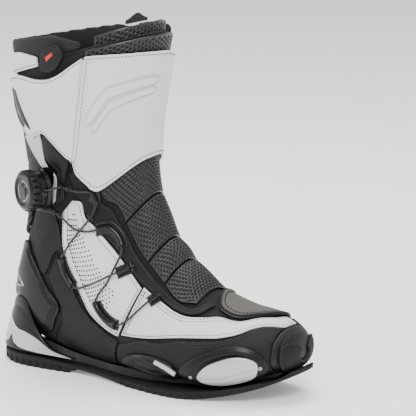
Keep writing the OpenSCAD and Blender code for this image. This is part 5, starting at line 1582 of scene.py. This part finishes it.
class BOOT_OT_dial(Piece, bpy.types.Operator):
    """Dial knob with its grip, the parts under it, and the lace with its guides"""
    bl_idname = "boot.dial"
    bl_label = "Dial and lace"

    def build(self, size):
        base, top = 9.8, 19.3
        profile = np.array([
            [.3, base + 7.4], [2.9, base + 7.4], [3.0, base + 7.2], [3.0, base + .2], [3.2, base],
            [8, base], [15, base], [17.2, base], [17.8, base + .5], [18, base + 1.2],
            [18, base + 2.4], [18, base + 3.6], [18, base + 4.8], [18, base + 6],
            [17.8, base + 6.7], [17.3, base + 7.3], [16.4, base + 8.2], [15.5, base + 9],
            [14.9, top - .1],
            [14.3, top], [13.4, top], [12.6, top - .02], [12.2, top - .25], [12, top - .8],
            [11.7, top - 1.05], [10, top - 1.05], [7.5, top - 1.0], [5.2, top - .95],
            [4.9, top - .6], [4.5, top - .45], [2.5, top - .4], [.3, top - .4]])

        def grip(r, z, w):
            notch = np.clip(1.9 * np.cos(20 * w) - .75, 0, 1)
            fine = .18 * np.cos(60 * w)
            side = np.clip((z - base - .3) / .5, 0, 1) * np.clip((base + 8.1 - z) / .6, 0, 1)
            return np.where(r > 14, -(1.25 * notch + fine) * side, 0)
        knob = turned("dial_knob_moulding", profile, 480, on_dial, grip)
        finish(knob, "knob", "dial_plastic", "dial_plastic", "dial_knob")
        for k in range(3):
            turn = np.linspace(0, 2 * np.pi, 91)[:9] * 2.4 + k * 2 * np.pi / 3
            line = on_dial(np.stack([8.6 * np.cos(turn), 8.6 * np.sin(turn),
                                     np.full(9, top - .95)], -1))
            up = np.tile(on_dial(np.array([0, 0, 1.])) - on_dial(np.zeros(3)), (9, 1))
            finish(tube("dial_mark_%d" % k, line, up, .62, 10, .5), "knob", "spool_grey",
                   "spool_grey")
        for name, look in (("dial_base", "dial_plastic"), ("dial_housing", "dial_plastic"),
                           ("dial_spool", "spool_grey"), ("dial_seat", "black_plastic"),
                           ("midsole", "sole_board"), ("footbed", "lining")):
            node = frame["nodes"][name]
            for slot_now in node.material_slots:
                slot_now.material = MATERIALS[look]
        runs = []
        for path in (LACE_UP, LACE_DOWN):
            points, up, _ = lace_line(path, 0, len(path) - 1, 260)
            runs.append(tube("run", points, up, LACE_WIDTH / 2, 10))
        finish(join("lace_cord", runs), "ankle", "lace_cord", "lace_cord", "lace")
        for name, runs, body, node in (
                ("guide_bar", [(LACE_UP, 14, 17)], "ankle", "lace_guide_bar"),
                ("guide_hook", [(LACE_DOWN, 16, 19)], "ankle", "lace_guide_hook"),
                ("guide_front_1", [(LACE_UP, 7.5, 10)], "ankle", "lace_guide_front_1"),
                ("guide_front_2", [(LACE_DOWN, 8.5, 11.5)], "ankle", "lace_guide_front_2"),
                ("guide_front_3", [(LACE_UP, 21.5, 22.5), (LACE_DOWN, 22.5, 23.5)], "ankle",
                 "lace_guide_front_3"),
                ("guide_upper", [(LACE_UP, 3.5, 5), (LACE_DOWN, 3.5, 5)], "shaft", "upper_guide")):
            made = [guide(name, path, a, b, 2.1 if name == "guide_upper" else 2.75)
                    for path, a, b in runs]
            if name != "guide_upper":
                half = 5.0 if name in ("guide_bar", "guide_hook") else 5.4
                made += [guide_foot(name, path, a - .15, b + .15, half, PANEL_TOP - .2, 2.7)
                         for path, a, b in runs]
            finish(join(name + "_moulding", made), body, "dial_plastic", "dial_plastic", node)


# ---------------------------------------------------------------- stage
class BOOT_OT_stage(Piece, bpy.types.Operator):
    """Pale floor, soft studio light and the camera"""
    bl_idname = "boot.stage"
    bl_label = "Stage"

    def build(self, size):
        far = 6.0
        grid = np.stack(np.meshgrid(np.linspace(-far, far, 5), np.linspace(-far, far, 5),
                                    indexing="ij") + [np.zeros((5, 5))], -1) / MM
        floor = raw_mesh("floor", grid.reshape(-1, 3), cells(5, 5))
        look = Look("floor_paint", Roughness=.75, Specular_Ior_Level=.2,
                    Emission_Color=(1, 1, 1, 1), Emission_Strength=.2)
        place = look.place()
        look.feed(Base_Color=look.blend(look.cloud(place, 3, 2), grey(.93), grey(.96)))
        floor.data.materials.append(look.material)
        world = bpy.data.worlds.new("studio")
        world.use_nodes = True
        world.node_tree.nodes["Background"].inputs[0].default_value = grey(.92, (.98, .99, 1.02))
        world.node_tree.nodes["Background"].inputs[1].default_value = .95
        bpy.context.scene.world = world
        for name, place, power, width in (
                ("key", (1.2, -1.6, 1.9), 58, 1.0), ("fill", (-2.0, -1.2, 1.0), 26, 1.0),
                ("top", (-.2, .5, 2.3), 52, 1.2)):
            light = bpy.data.lights.new(name, "AREA")
            light.energy, light.size = power, width
            lamp = bpy.data.objects.new(name, light)
            lamp.location = place
            lamp.rotation_euler = (Vector((0, 0, .15)) - Vector(place)).to_track_quat(
                "-Z", "Y").to_euler()
            bpy.context.scene.collection.objects.link(lamp)
        azimuth, elevation, distance = math.radians(32.5), math.radians(11.5), 1.8
        back = Vector((math.sin(azimuth) * math.cos(elevation),
                       -math.cos(azimuth) * math.cos(elevation), math.sin(elevation)))
        right = Vector((math.cos(azimuth), math.sin(azimuth), 0))
        up = back.cross(right)
        middle = Vector((0, 0, .14))
        lens = bpy.data.cameras.new("camera")
        lens.lens, lens.sensor_width = 179.1, 36
        lens.clip_start, lens.clip_end = .05, 30
        camera = bpy.data.objects.new("camera", lens)
        camera.location = middle + back * distance
        aim = middle + right * .0483 + up * .0091 - camera.location
        camera.rotation_euler = aim.to_track_quat("-Z", "Y").to_euler()
        bpy.context.scene.collection.objects.link(camera)
        bpy.context.scene.camera = camera


class BOOT_PT_looks(bpy.types.Panel):
    bl_idname = "BOOT_PT_looks"
    bl_label = "Touring boot"
    bl_space_type = "VIEW_3D"
    bl_region_type = "UI"
    bl_category = "Boot"

    def draw(self, context):
        for name in ("leather_light", "leather_black", "mesh_pitch", "mesh_depth", "stitch_step"):
            self.layout.prop(context.scene.boot_sizes, name)
        for operator in OPERATORS:
            self.layout.operator(operator.bl_idname)


OPERATORS = (BOOT_OT_stage, BOOT_OT_sole, BOOT_OT_heel, BOOT_OT_toe, BOOT_OT_guards, BOOT_OT_ankle,
             BOOT_OT_instep, BOOT_OT_shaft, BOOT_OT_flap, BOOT_OT_collar, BOOT_OT_lining,
             BOOT_OT_dial)
CLASSES = (BootSizes,) + OPERATORS + (BOOT_PT_looks,)


def register():
    for cls in CLASSES:
        bpy.utils.register_class(cls)
    bpy.types.Scene.boot_sizes = bpy.props.PointerProperty(type=BootSizes)


def unregister():
    del bpy.types.Scene.boot_sizes
    for cls in reversed(CLASSES):
        bpy.utils.unregister_class(cls)


def main():
    register()
    make_materials(sizes())
    for operator in OPERATORS:
        getattr(bpy.ops.boot, operator.bl_idname.split(".")[1])()


if __name__ == "__main__":
    main()
